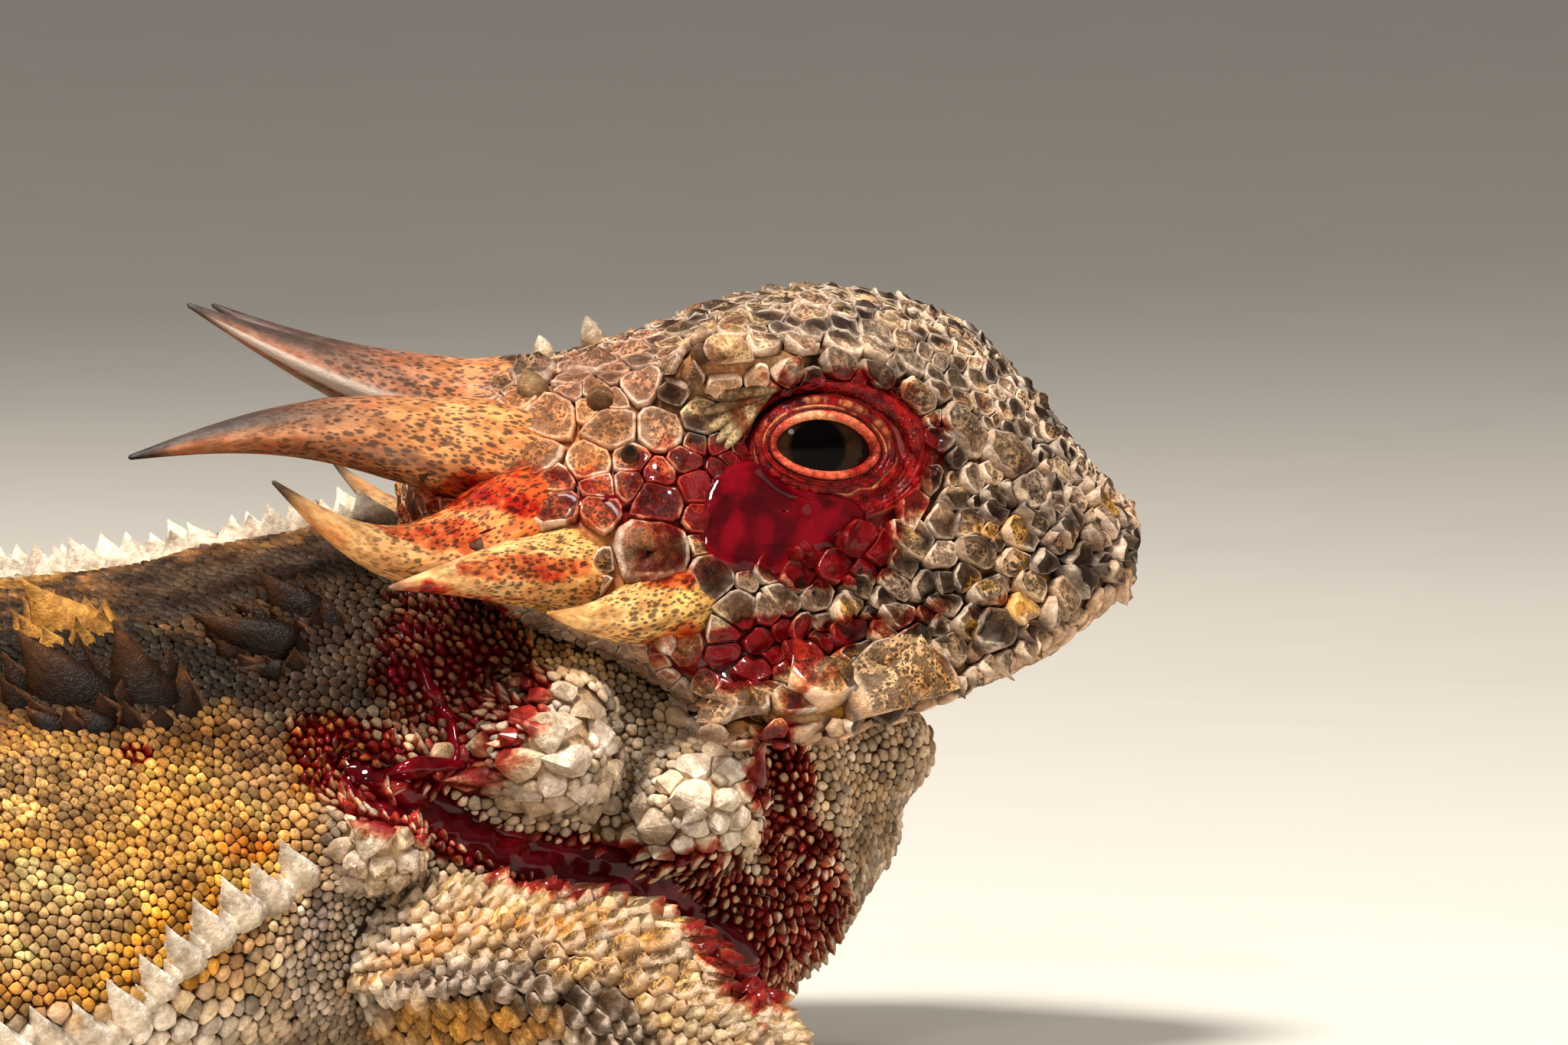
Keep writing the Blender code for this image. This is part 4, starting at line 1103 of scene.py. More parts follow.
# ---------------------------------------------------------------- materials
class Graph:
    """A small maker of material nodes."""

    def __init__(self, name):
        self.material = bpy.data.materials.new(name)
        self.material.use_nodes = True
        self.tree = self.material.node_tree
        self.shader = self.tree.nodes["Principled BSDF"]
        self.place = self.tree.nodes.new("ShaderNodeTexCoord").outputs["Object"]

    def fill(self, node, values):
        """Gives a node's inputs, by name or number, their values or links them to outputs."""
        for key, value in values.items():
            socket = node.inputs[key]
            if isinstance(value, bpy.types.NodeSocket):
                self.tree.links.new(value, socket)
            else:
                socket.default_value = (*value, 1.0) if isinstance(value, tuple) else value

    def node(self, kind, **values):
        """A new node with the given values of its inputs."""
        node = self.tree.nodes.new("ShaderNode" + kind)
        self.fill(node, values)
        return node

    def painted(self, name, output="Color"):
        """What a mesh says under a name for each of its vertices."""
        node = self.node("Attribute")
        node.attribute_name = name
        return node.outputs[output]

    def marks(self):
        """The painted paleness, blood and speckles."""
        node = self.node("SeparateColor", Color=self.painted("Marks"))
        return node.outputs["Red"], node.outputs["Green"], node.outputs["Blue"]

    def math(self, operation, a, b, clamp=False):
        """A sum, product or the like of two values."""
        node = self.node("Math")
        node.operation = operation
        node.use_clamp = clamp
        self.fill(node, {0: a, 1: b})
        return node.outputs["Value"]

    def times(self, a, b):
        """The product of two values."""
        return self.math("MULTIPLY", a, b)

    def step(self, value, low, high, to_low=0.0, to_high=1.0):
        """A smooth change from to_low to to_high as value goes from low to high."""
        node = self.node("MapRange")
        node.interpolation_type = "SMOOTHSTEP"
        self.fill(node, dict(enumerate((value, low, high, to_low, to_high))))
        return node.outputs["Result"]

    def mix(self, share, a, b, blend="MIX"):
        """The colour a with a share of the colour b."""
        node = self.node("Mix")
        node.data_type = "RGBA"
        node.blend_type = blend
        self.fill(node, {0: share, 6: a, 7: b})
        return node.outputs[2]

    def filtered(self, colour, tone):
        """The colour as it shows through another one."""
        return self.mix(1.0, colour, tone, "MULTIPLY")

    def noise(self, scale, detail=3.0, roughness=0.5, place=None, distortion=0.0):
        """Noise from 0 to 1, which is 0.5 on average."""
        return self.node("TexNoise", Scale=scale, Detail=detail, Roughness=roughness,
                         Distortion=distortion, Vector=place or self.place).outputs["Fac"]

    def spots(self, scale, size, place=None, soft=0.12):
        """Round spots of uneven sizes: 1 within a spot and 0 between them."""
        cells = self.node("TexVoronoi", Scale=scale, Vector=place or self.place)
        ragged = self.times(self.noise(scale * 1.7, 2, 0.5, place), 0.5)
        reach = self.math("ADD", cells.outputs["Distance"], ragged)
        return self.step(reach, size + 0.25 + soft, size + 0.25 - soft)

    def bump(self, height, strength, distance):
        """Gives the surface the relief of height."""
        node = self.node("Bump", Strength=strength, Distance=distance, Height=height)
        self.fill(self.shader, {"Normal": node.outputs["Normal"]})

    def coat(self, weight, roughness):
        """Gives the surface a clear wet film."""
        self.fill(self.shader, {"Coat Weight": weight, "Coat Roughness": roughness})

    def finish(self, colour, roughness, specular):
        """The material, with its colour, roughness and gloss."""
        self.fill(self.shader, {"Base Color": colour, "Roughness": roughness, "Specular IOR Level": specular})
        return self.material


BLOOD_WASH = (0.8, 0.4, 0.3)
BLOOD_THIN = (0.42, 0.04, 0.035)
BLOOD_THICK = (0.13, 0.0009, 0.0022)
SPECK = (0.022, 0.012, 0.007)
DRY, WET = 0.62, 0.2


def blood_over(g, colour, blood, mottle):
    """The colour and roughness of a surface under blood that is thin in places."""
    wash = g.filtered(colour, BLOOD_WASH)
    thin = g.filtered(colour, BLOOD_THIN)
    uneven = g.math("ADD", blood, g.step(mottle, 0.3, 0.7, 0.2, -0.2))
    wet = g.mix(g.step(uneven, 0.66, 0.95), thin, BLOOD_THICK)
    wet = g.mix(g.step(uneven, 0.3, 0.6), wash, wet)
    stain = g.times(g.step(uneven, 0.1, 0.3), g.step(blood, 0.02, 0.1))
    g.coat(g.step(blood, 0.3, 0.7, 0.0, 0.45), 0.07)
    return g.mix(stain, colour, wet), g.step(blood, 0.1, 0.6, DRY, WET)


def scaled_skin(name, speck_scale, speck_size, rim_strength, rim_colour, hollow, dullness=1.0,
                specular=0.09):
    """Keratin scales with speckles, pale borders and wet blood, from the painted markings."""
    g = Graph(name)
    pale, blood, speckle = g.marks()
    mottle = g.noise(1100, 4, 0.6)
    grain = g.noise(4200, 5, 0.65)
    shade = g.mix(g.step(mottle, 0.3, 0.7), (0.62, 0.55, 0.47), (1.22, 1.18, 1.12))
    colour = g.filtered(g.painted("Tint"), shade)
    darker = g.filtered(colour, (0.4, 0.33, 0.26))
    colour = g.mix(g.step(grain, 0.38, 0.62, 0.0, 0.5), colour, darker)
    edge = g.times(g.step(pale, 0.35, 0.0), hollow)
    colour = g.mix(g.times(edge, speckle), colour, darker)
    dots = g.math("MAXIMUM", g.spots(speck_scale, speck_size), g.spots(speck_scale * 1.9, speck_size * 0.95))
    blots = g.times(g.step(g.noise(2600, 5, 0.7), 0.5, 0.57), 0.85)
    clouds = g.times(g.step(g.noise(1250, 5, 0.7), 0.51, 0.57), 0.8)
    blots = g.math("MAXIMUM", blots, g.times(clouds, g.step(speckle, 0.6, 0.8)))
    amount = g.times(g.math("MAXIMUM", dots, blots), speckle)
    amount = g.times(amount, g.step(mottle, 0.25, 0.5, 0.55, 1.0))
    amount = g.times(amount, g.step(pale, 0.3, 0.9, 1.0, 0.3))
    colour = g.mix(amount, colour, SPECK)
    rim = g.times(pale, g.step(grain, 0.25, 0.7, rim_strength, rim_strength * 0.35))
    rim = g.times(rim, g.step(g.noise(750, 3, 0.6), 0.42, 0.58, 0.25, 1.0))
    colour = g.mix(rim, colour, rim_colour)
    lifted = g.math("SUBTRACT", blood, g.times(rim, 0.4), clamp=True)
    colour, roughness = blood_over(g, colour, lifted, mottle)
    g.bump(g.math("ADD", grain, g.times(g.noise(13000, 3), 0.5)), 0.8, 0.00009)
    return g.finish(colour, g.times(roughness, dullness), specular)


plate_material = scaled_skin("head_plates", 4300, 0.37, 0.9, (0.78, 0.6, 0.46), 0.3)
granule_material = scaled_skin("body_scales", 5200, 0.3, 0.2, (0.6, 0.5, 0.38), 0.0)
spine_material = scaled_skin("spine_keratin", 4300, 0.34, 0.6, (0.72, 0.56, 0.4), 0.0, 0.45, 0.14)


def horn_keratin():
    """Horn with streaks and speckles that run along it."""
    g = Graph("horn_keratin")
    pale, blood, speckle = g.marks()
    along = g.painted("Along", "Vector")
    streaks = g.noise(2.2, 4, 0.6, along, 0.5)
    fine = g.noise(7.0, 4, 0.6, along)
    mottle = g.noise(1100, 4, 0.6)
    shade = g.mix(g.step(streaks, 0.3, 0.7), (0.58, 0.44, 0.34), (1.2, 1.16, 1.08))
    colour = g.filtered(g.painted("Tint"), shade)
    ruddy = g.filtered(colour, (1.08, 0.66, 0.45))
    colour = g.mix(g.step(g.noise(1.3, 3, 0.5, along), 0.48, 0.66, 0.0, 0.6), colour, ruddy)
    dots = g.math("MAXIMUM", g.spots(4.2, 0.33, along), g.spots(7.4, 0.34, along))
    colour = g.mix(g.times(dots, speckle), colour, (0.04, 0.02, 0.012))
    colour = g.mix(pale, colour, (0.76, 0.66, 0.55))
    colour, roughness = blood_over(g, colour, blood, mottle)
    g.bump(g.math("ADD", fine, g.times(streaks, 0.7)), 0.4, 0.0001)
    return g.finish(colour, g.times(roughness, 0.75), 0.3)


def eye_cornea():
    """A dark wet eye whose iris shows faint streaks."""
    g = Graph("eye_cornea")
    streaks = g.mix(g.noise(5200, 4, 0.6), (0.4, 0.4, 0.4), (1.6, 1.5, 1.4))
    return g.finish(g.filtered(g.painted("Tint"), streaks), 0.05, 0.06)


def wet_lid():
    """Thin moist skin with fine grains."""
    g = Graph("eyelid_skin")
    _, blood, _ = g.marks()
    grain = g.noise(5600, 4, 0.6)
    mottle = g.noise(2100, 3, 0.6)
    shade = g.mix(g.step(grain, 0.3, 0.7), (0.6, 0.5, 0.45), (1.2, 1.15, 1.1))
    colour = g.filtered(g.painted("Tint"), shade)
    thick = g.mix(g.step(mottle, 0.35, 0.65), (0.05, 0.0005, 0.001), (0.26, 0.004, 0.003))
    colour = g.mix(g.step(blood, 0.0, 1.0), colour, thick)
    g.bump(g.math("ADD", grain, g.spots(6500, 0.4)), 0.6, 0.00006)
    return g.finish(colour, g.step(blood, 0.0, 0.6, 0.32, 0.14), 0.22)


def blood_pool():
    """Standing blood, with slow swirls of lighter and darker red in it."""
    g = Graph("standing_blood")
    swirl = g.noise(260, 3, 0.45, distortion=2.4)
    fine = g.noise(700, 2, 0.5, distortion=1.6)
    colour = g.mix(g.step(swirl, 0.36, 0.62), (0.045, 0.0002, 0.0016), (0.15, 0.0008, 0.005))
    colour = g.mix(g.step(fine, 0.45, 0.7, 0.0, 0.6), colour, (0.022, 0.0002, 0.001))
    g.bump(swirl, 0.3, 0.0002)
    return g.finish(colour, 0.06, 0.26)


def studio_floor():
    """A plain pale floor."""
    g = Graph("studio_floor")
    grain = g.noise(60, 4, 0.6)
    colour = g.mix(grain, (0.6, 0.56, 0.5), (0.64, 0.6, 0.54))
    g.bump(g.noise(900, 3), 0.04, 0.0001)
    return g.finish(colour, 0.75, 0.25)


def bare_skin():
    """The skin as it shows between the scales, darker than they are."""
    g = Graph("bare_skin")
    _, blood, _ = g.marks()
    grain = g.noise(5200, 5, 0.6)
    shade = g.mix(g.step(grain, 0.3, 0.7), (0.3, 0.22, 0.14), (0.62, 0.5, 0.36))
    colour = g.filtered(g.painted("Tint"), shade)
    red = g.mix(g.step(g.noise(1500, 3), 0.3, 0.7), BLOOD_THICK, (0.2, 0.004, 0.004))
    stain = g.step(blood, 0.1, 0.4)
    colour = g.mix(stain, colour, red)
    g.coat(g.step(blood, 0.3, 0.7, 0.0, 0.7), 0.05)
    g.bump(grain, 0.4, 0.00008)
    return g.finish(colour, g.step(stain, 0.0, 1.0, 0.7, 0.15), 0.15)


skin_tint, skin_speckle = tint_at(skin_points, skin_normals)
paint(skin, "Tint", skin_tint)
paint(skin, "Marks", marks(0.0, blood_at(skin_points), skin_speckle))
finished(skin, bare_skin(), "lizard_skin", *HEAD, *TORSO, *LIMBS)

# ---------------------------------------------------------------- the coat
is_head, is_limb = kinds_of(seeds)
order = np.arange(len(seeds))
count_head = len(head_sizes)
is_neck_plate = (order >= count_head) & (order < count_head + len(neck_sizes))
up = normals[:, 2]
x, y, z = seeds.T
under = (up < -0.35) & (is_head > 0.5) & (z < mouth_z(x) - 1.2)
plates = keep & (is_head > 0.5) & ~under & ~is_neck_plate
right = y < 0
# Domed plates: x and y in the frame, and how far each rises in millimetres.
BOSSES = ((948, 462, 0.35), (855, 722, 0.6), (883, 815, 0.45), (700, 490, 0.45), (780, 480, 0.35),
          (1257, 560, 0.25), (790, 790, 0.2), (970, 919, 0.3), (1089, 902, 0.25), (1195, 868, 0.2),
          (1028, 482, 0.2), (1094, 474, 0.25), (1146, 492, 0.2), (1198, 522, 0.25), (1312, 590, 0.2))
dome = 0.22 * rng.random(len(seeds)) ** 2 * half
for *place, rise in BOSSES:
    away = np.linalg.norm(np.array(HEAD_PLATES)[:, :2] - place, axis=1)
    nearest_row = int(np.argmin(away))
    dome[[nearest_row, nearest_row + len(HEAD_PLATES)]] = rise
shelf = (z < mouth_z(x) - 0.7) & (order < count_head)
for label, mask, count, rings in (("right", plates & right, 16, PLATE_RINGS),
                                  ("left", plates & ~right, 12, LEFT_RINGS)):
    chosen = order[mask]
    front = smooth(-14, -9, x[chosen])
    slim = stretch_at(seeds[chosen]) - 1
    coat_piece(f"head_plates_{label}", chosen, plate_material, count=count, rings=rings,
               height=0.09 + 0.1 * half[chosen] + 0.05 * front, gap=0.03, conform=True, sharp=22.0,
               widest=np.where(order[chosen] < count_head, 1.5, 1.9),
               keel=(0.3 + 0.6 * slim) * rng.random(len(chosen)),
               tilt=0.25 + 0.7 * slim + 0.4 * shelf[chosen],
               dome=dome[chosen], rough=1.5, point=0.3 * shelf[chosen] + 0.2 * slim, spread=0.9)

rosette = keep & is_neck_plate
chosen = order[rosette]
rosettes = coat_piece("neck_rosettes", chosen, plate_material, count=12, rings=PYRAMID_RINGS,
                      clean_tips=1.2, height=0.22 + 0.42 * half[chosen], gap=0.04, conform=True,
                      sharp=40.0, widest=1.8, point=0.35, peak=0.5, spread=0.15)
rosettes.data.shade_flat()

rest = keep & ~plates & ~rosette
shown = rest & (y < 3) & (x > -38)
limb_top = rest & (is_limb > 0.5) & (up > -0.2)
fine_small = shown & ~limb_top
blooded = blood_at(seeds) > 0.3
for label, mask in (("throat", x > -17.5), ("neck", (x > -25) & (x <= -17.5)),
                    ("flank_high", (x <= -25) & (z > 11.5)), ("flank_low", (x <= -25) & (z <= 11.5))):
    chosen = order[fine_small & mask]
    thorny = np.where(blooded[chosen], 1.0, 0.2) * rng.random(len(chosen))
    coat_piece(f"granules_{label}", chosen, granule_material, count=8, rings=GRANULE_RINGS,
               height=(0.3 + 0.4 * thorny) * half[chosen] + 0.03,
               gap=0.03 + 0.06 * blooded[chosen][:, None],
               conform=False, clean_tips=1.8, point=0.15 + 0.35 * thorny,
               tilt=(0.35 + 1.1 * thorny) * (1 - 0.8 * is_head[chosen]), keel=0.5 * rng.random(len(chosen)),
               sharp=12.0, widest=1.4, spread=0.9)
for label, mask in (("arm", x > -45), ("leg", x <= -45)):
    chosen = order[limb_top & mask]
    coat_piece(f"{label}_scales", chosen, plate_material, count=12, rings=KEEL_RINGS,
               height=0.2 * half[chosen] + 0.04, gap=0.02, conform=False, clean_tips=0.6,
               point=0.65, keel=1.6, tilt=1.5, sharp=20.0, widest=1.5)
far = rest & ~limb_top & ~shown
back, belly = far & (up > 0.1), far & (up <= 0.1)
for label, mask, rise in (("back_front", back & (x > -62), 0.3), ("back_rear", back & (x <= -62), 0.3),
                          ("belly_front", belly & (x > -55), 0.2), ("belly_rear", belly & (x <= -55), 0.2)):
    chosen = order[mask]
    coat_piece(f"scales_{label}", chosen, granule_material, count=7, rings=SMALL_RINGS,
               height=rise * half[chosen] + 0.04, gap=0.06, conform=False, widest=1.35,
               point=0.3 + 0.3 * rng.random(len(chosen)), tilt=0.9, keel=1.2 * rng.random(len(chosen)))


# ---------------------------------------------------------------- horns, spines and claws
class Growth:
    """Horns, spines, claws and long scales, gathered to be one object."""

    def __init__(self):
        self.parts = []
        self.count = 0

    def shaft(self, axis, across, widths, depths, colouring, sides=12, ridge=None):
        """A closed tapering shaft; colouring gives tints and marks from places along and round it."""
        rings = len(axis)
        along = unit(np.gradient(axis, axis=0))
        a = unit(across - along * (along @ across)[:, None])
        b = np.cross(along, a)
        angles = turns_round(sides)
        swell = np.ones((rings, sides)) if ridge is None else ridge(np.linspace(0, 1, rings), angles)
        round_a = np.cos(angles) * swell * widths[:, None]
        round_b = np.sin(angles) * swell * depths[:, None]
        ring = a[:, None] * round_a[..., None] + b[:, None] * round_b[..., None]
        tip = axis[-1] + along[-1] * widths[-1]
        points = np.concatenate(((axis[:, None] + ring).reshape(-1, 3), axis[:1], tip[None]))
        outward = np.concatenate((unit(ring).reshape(-1, 3), -along[:1], along[-1:]))
        shares = np.append(np.repeat(np.linspace(0, 1, rings), sides), (0.0, 1.0))
        turns = np.append(np.tile(angles, rings), (0.0, 0.0))
        girth = np.append(np.repeat(widths, sides), (0.0, 0.0))
        length = np.linalg.norm(axis[-1] - axis[0])
        lie = np.stack((shares * length * 0.45, np.cos(turns) * girth + self.count,
                        np.sin(turns) * girth), axis=1)
        quads = grid_quads(rings, sides)[:, TURNED_QUAD]
        k = np.arange(sides)
        caps = np.concatenate((capped(k, rings * sides)[:, TURNED_TRIANGLE],
                               capped((rings - 1) * sides + k, rings * sides + 1)))
        roots = np.tile(axis[2], (len(points), 1))
        self.parts.append((points, quads + self.count, caps + self.count,
                           *colouring(points, shares, outward), lie, roots))
        self.count += len(points)

    def made(self, name, material, slot, *replaced, on_skin=False):
        """The finished object; on_skin gives it places on the skin's unwrap."""
        points, quads, triangles, tints, markings, lies, roots = (
            np.concatenate(rows) for rows in zip(*self.parts))
        points[:, 2] = np.maximum(points[:, 2], 0.0)
        obj = make_mesh(name, points, quads, triangles)
        paint(obj, "Tint", tints)
        paint(obj, "Marks", markings)
        layer = obj.data.attributes.new("Along", "FLOAT_VECTOR", "POINT")
        layer.data.foreach_set("vector", lies.astype(np.float32).ravel())
        if on_skin:
            face = unwrap.nearest(roots)
            bake_map(obj, unwrap.place[face] + unwrap.turned(face, np.clip(points - roots, -0.6, 0.6)))
        return finished(obj, material, slot, *replaced)


# Tones of each horn's foot, middle and tip, and how dark it is above.
HORN_LOOKS = {
    "occipital_inner": (srgb(204, 134, 84), srgb(158, 112, 88), srgb(66, 56, 56), 1.0),
    "occipital_outer": (srgb(210, 148, 92), srgb(170, 118, 84), srgb(30, 24, 22), 1.0),
    "temporal_upper": (srgb(230, 136, 72), srgb(230, 182, 122), srgb(66, 50, 40), 0.45),
    "temporal_middle": (srgb(222, 172, 104), srgb(230, 188, 130), srgb(156, 126, 104), 0.15),
    "temporal_lower": (srgb(222, 176, 100), srgb(232, 192, 128), srgb(206, 160, 96), 0.1),
}
HORN_SIDES, HORN_RINGS, HORN_ROOT = 40, 44, -0.12
horn_material = horn_keratin()


def build_horn(title, side, base, tip, bow, radius):
    """One horn: dark above towards its tip, with a pale ridge low on its outer side."""
    first, second, last, dusk = HORN_LOOKS[title]
    outward_side = np.array((0.0, side, -0.45))

    def colouring(points, shares, outward):
        tint = mixed(first, second, smooth(0.15, 0.6, shares))
        dark = smooth(-0.2, 0.6, outward[:, 2]) * smooth(0.3, 0.75, shares) * dusk
        tint = mixed(tint, srgb(74, 62, 58), dark)
        tint = mixed(tint, last, smooth(0.86, 0.98, shares))
        facing = outward @ unit(outward_side)
        ridge = smooth(0.93, 0.99, facing) * smooth(0.2, 0.45, shares) * smooth(0.97, 0.85, shares)
        pale = ridge * (0.75 if dusk > 0.5 else 0.15)
        return tint, marks(pale, blood_at(points), smooth(0.95, 0.5, shares) * 0.85)

    def ridge(shares, angles):
        keel = 0.12 * np.exp(-((angles + 0.3 + math.pi) % (2 * math.pi) - math.pi) ** 2 / 0.1)
        groove = 0.03 * np.cos(angles * 9 + 2) * smooth(0.9, 0.4, shares)[:, None]
        return 1 + keel[None] * smooth(0.05, 0.3, shares)[:, None] + groove

    shares = np.linspace(HORN_ROOT, 1, HORN_RINGS)
    axis = horn_line(side, base, tip, bow, shares)
    widths = radius * looked_up(HORN_TAPER, shares) * (1 + 0.16 * smooth(0.22, 0.05, shares))
    growth = Growth()
    growth.shaft(axis, np.array((0.0, side, 0.0)), widths, widths * 0.94, colouring, HORN_SIDES, ridge)
    label = "right" if side < 0 else "left"
    growth.made(f"horn_sheath_{title}_{label}", horn_material, "horn_keratin", f"horn_{title}_{label}")


for title, *shape in HORNS:
    for side in SIDES.values():
        build_horn(title, side, *shape)

# Girth along a spine and along a blunt knob.
SPINE_TAPER = ((-0.35, 1.12), (0.0, 1.0), (0.25, 0.74), (0.6, 0.34), (0.85, 0.13), (1.0, 0.03))
KNOB_TAPER = ((-0.35, 1.1), (0.0, 1.0), (0.4, 0.9), (0.75, 0.62), (1.0, 0.2))


def spine(growth, root, lean, width, depth, across, base_colour, tip_colour, taper=SPINE_TAPER,
          sag=0.12, sides=10, speckle=0.3, rings=11):
    """A spine that leans from root, flattened, with its tip bent the way it leans and pale edges."""
    shares = np.linspace(-0.35, 1, rings)
    curve = np.array((lean[0], lean[1], 0)) * sag
    axis = root + lean * shares[:, None] + curve * (shares ** 2 - shares)[:, None]
    swell = looked_up(taper, shares)

    def colouring(points, along, outward):
        share = smooth(0.3, 0.95, along)
        rim = smooth(0.95, 0.995, np.abs(outward @ unit(across))) * smooth(0.0, 0.3, along)
        tint = mixed(base_colour, tip_colour, share)
        tint = mixed(tint, np.minimum(tip_colour * 3.2 + 0.02, 0.9), rim * 0.8)
        tint = tint * (0.7 + 0.6 * noise(points, 0.5))[:, None]
        return tint, marks(0.0, blood_at(points) * (1 - 0.5 * share), speckle)

    growth.shaft(axis, across, width * swell, depth * swell, colouring, sides)


WHITE, IVORY = srgb(226, 212, 192), srgb(240, 230, 214)
SOOT, EMBER = srgb(22, 12, 7), srgb(78, 48, 26)
AMBER, UMBER = srgb(206, 150, 74), srgb(100, 72, 48)
BUFF = srgb(166, 134, 98)


def frame_lean(root_px, tip_px, outward):
    """A lean as it shows in the frame, with a share of it coming out of the side."""
    across, drop = (np.array(tip_px) - root_px) * PIXEL
    return np.array((across, -outward, -drop))


# Spines of the right side: foot and tip in the frame, half width, thickness and colours.
FRAME_SPINES = (
    ((86, 912), (27, 826), 1.5, 0.6, SOOT, EMBER), ((186, 912), (151, 812), 1.25, 0.55, SOOT, EMBER),
    ((340, 846), (250, 800), 1.15, 0.5, SOOT, EMBER), ((384, 796), (338, 745), 0.9, 0.4, SOOT, EMBER),
    ((82, 822), (30, 757), 1.2, 0.5, AMBER, AMBER), ((336, 803), (300, 786), 0.4, 0.25, SOOT, EMBER),
    ((432, 812), (421, 774), 0.5, 0.3, SOOT, EMBER), ((244, 918), (236, 862), 0.55, 0.35, SOOT, EMBER),
    ((120, 950), (100, 922), 0.7, 0.4, SOOT, EMBER), ((60, 950), (34, 924), 0.6, 0.35, SOOT, EMBER),
    ((350, 880), (306, 872), 0.6, 0.35, SOOT, EMBER),
    ((885, 925), (872, 905), 0.35, 0.3, WHITE, IVORY), ((905, 948), (872, 941), 0.42, 0.3, WHITE, IVORY),
    ((984, 1010), (1001, 970), 0.45, 0.3, WHITE, IVORY), ((640, 1012), (574, 1020), 0.5, 0.35, WHITE, IVORY),
    ((600, 990), (562, 1002), 0.35, 0.25, WHITE, IVORY), ((716, 962), (668, 938), 0.5, 0.35, WHITE, IVORY),
    ((486, 1095), (456, 1070), 0.7, 0.45, WHITE, IVORY), ((905, 1060), (890, 1078), 0.4, 0.25, WHITE, IVORY),
    ((552, 615), (528, 603), 0.3, 0.2, UMBER, SOOT), ((624, 712), (603, 715), 0.25, 0.15, UMBER, SOOT),
    ((935, 925), (908, 937), 0.42, 0.35, AMBER, IVORY),
)
# Blunt knobs of the head: middle in the frame, half width, height and colours.
FRAME_KNOBS = (
    (838, 722, 0.6, 0.5, UMBER, SOOT), (866, 832, 0.42, 0.4, WHITE, IVORY),
    (822, 598, 0.34, 0.45, UMBER, SOOT), (697, 515, 0.55, 0.6, UMBER, BUFF),
    (785, 524, 0.5, 0.35, EMBER, UMBER), (777, 446, 0.45, 0.8, BUFF, WHITE),
    (712, 470, 0.4, 0.6, BUFF, WHITE), (915, 462, 0.36, 0.1, UMBER, UMBER),
)


def on_both_sides(growth, root, lean, *args, **kwargs):
    """A spine on the right side and its mirror image on the left."""
    for side in SIDES.values():
        spine(growth, flipped(root, -side), flipped(lean, -side), *args, **kwargs)


def rosette_of(root, lean, width, field):
    """Places and leans of the small spines that stand round the foot of a large one."""
    n = field.normal(root[None])[0]
    first = unit(lean - n * (lean @ n))
    second = np.cross(n, first)
    for turn in turns_round(9):
        way = first * math.cos(turn) + second * math.sin(turn)
        place = field.onto((root + way * width * (0.95 + 0.3 * rng.random()))[None], 0.0)[0]
        rise = 0.55 + 0.3 * rng.random()
        yield place, (unit(n + way * 0.5 + unit(lean) * 0.7)) * width * rise


def rooted(px, py):
    """The body's point at a place in the frame, or else at the first place below it that shows one."""
    while body.at(seen_at((px, py)))[0] > 0.1:
        py += 3
    return seen_at((px, py))[0]


spines = Growth()
for root_px, tip_px, width, depth, base_colour, tip_colour in FRAME_SPINES:
    root = rooted(*root_px)
    lean = frame_lean(root_px, tip_px, 0.35 * width)
    on_both_sides(spines, root, lean, width, depth, np.array((1.0, 0.0, 0.0)), base_colour, tip_colour)
    if width > 0.75:
        for place, small_lean in rosette_of(root, lean, width, body):
            on_both_sides(spines, place, small_lean, 0.4 * width, 0.3 * width, np.array((1.0, 0.0, 0.3)),
                          base_colour, mixed(base_colour, EMBER, (0.6,))[0], sides=8, rings=7)
for px, py, width, rise, base_colour, tip_colour in FRAME_KNOBS:
    root = rooted(px, py)
    lean = body.normal(root[None])[0] * (rise + 0.25)
    on_both_sides(spines, root, lean, width, width, np.array((1.0, 0.0, 0.0)), base_colour, tip_colour,
                  taper=KNOB_TAPER, sides=14)


def dropped(x, y):
    """The point of the back over a place."""
    return traced(np.array(((x, y, 28.5),)), np.array(((0.0, 0.0, -1.0),)), torso)[0]


# The fringe along both flanks: its height at each x, and its line in front in the frame.
FLANK_HEIGHTS = ((-88, 2.9), (-85, 2.9), (-75, 2.6), (-63, 2.5), (-50, 2.5), (-37, 2.8), (-30, 4.3),
                 (-25, 6.5))
FRINGE_FRONT = ((385, 1140), (350, 1168), (300, 1195), (255, 1232), (215, 1272), (165, 1322), (120, 1352))
FRINGE_STEP = 1.35


def between(knots, count):
    """Places along a line of straight pieces, as many between any two of its knots."""
    knots = np.array(knots, float)
    spread = np.linspace(0, len(knots) - 1, count)
    return np.stack([np.interp(spread, np.arange(len(knots)), knots[:, k]) for k in (0, 1)], axis=1)


def fringe_line(side):
    """The line of the fringe: as the frame shows it in front, then along the flank."""
    front = flipped(seen_at(between(FRINGE_FRONT, 120)), -side)
    last_x, last_z = front[-1, 0], front[-1, 2]
    xs = np.arange(last_x - 0.1, -88.0, -0.1)
    z = looked_up(FLANK_HEIGHTS, xs) + 0.35
    z += (last_z - looked_up(FLANK_HEIGHTS, last_x) - 0.35) * smooth(last_x - 12, last_x, xs)
    start = np.stack((xs, np.full(len(xs), side * 42.0), z), axis=1)
    flank = traced(start, np.tile((0.0, -side, 0.0), (len(xs), 1)), torso)
    return np.concatenate((front, flank))


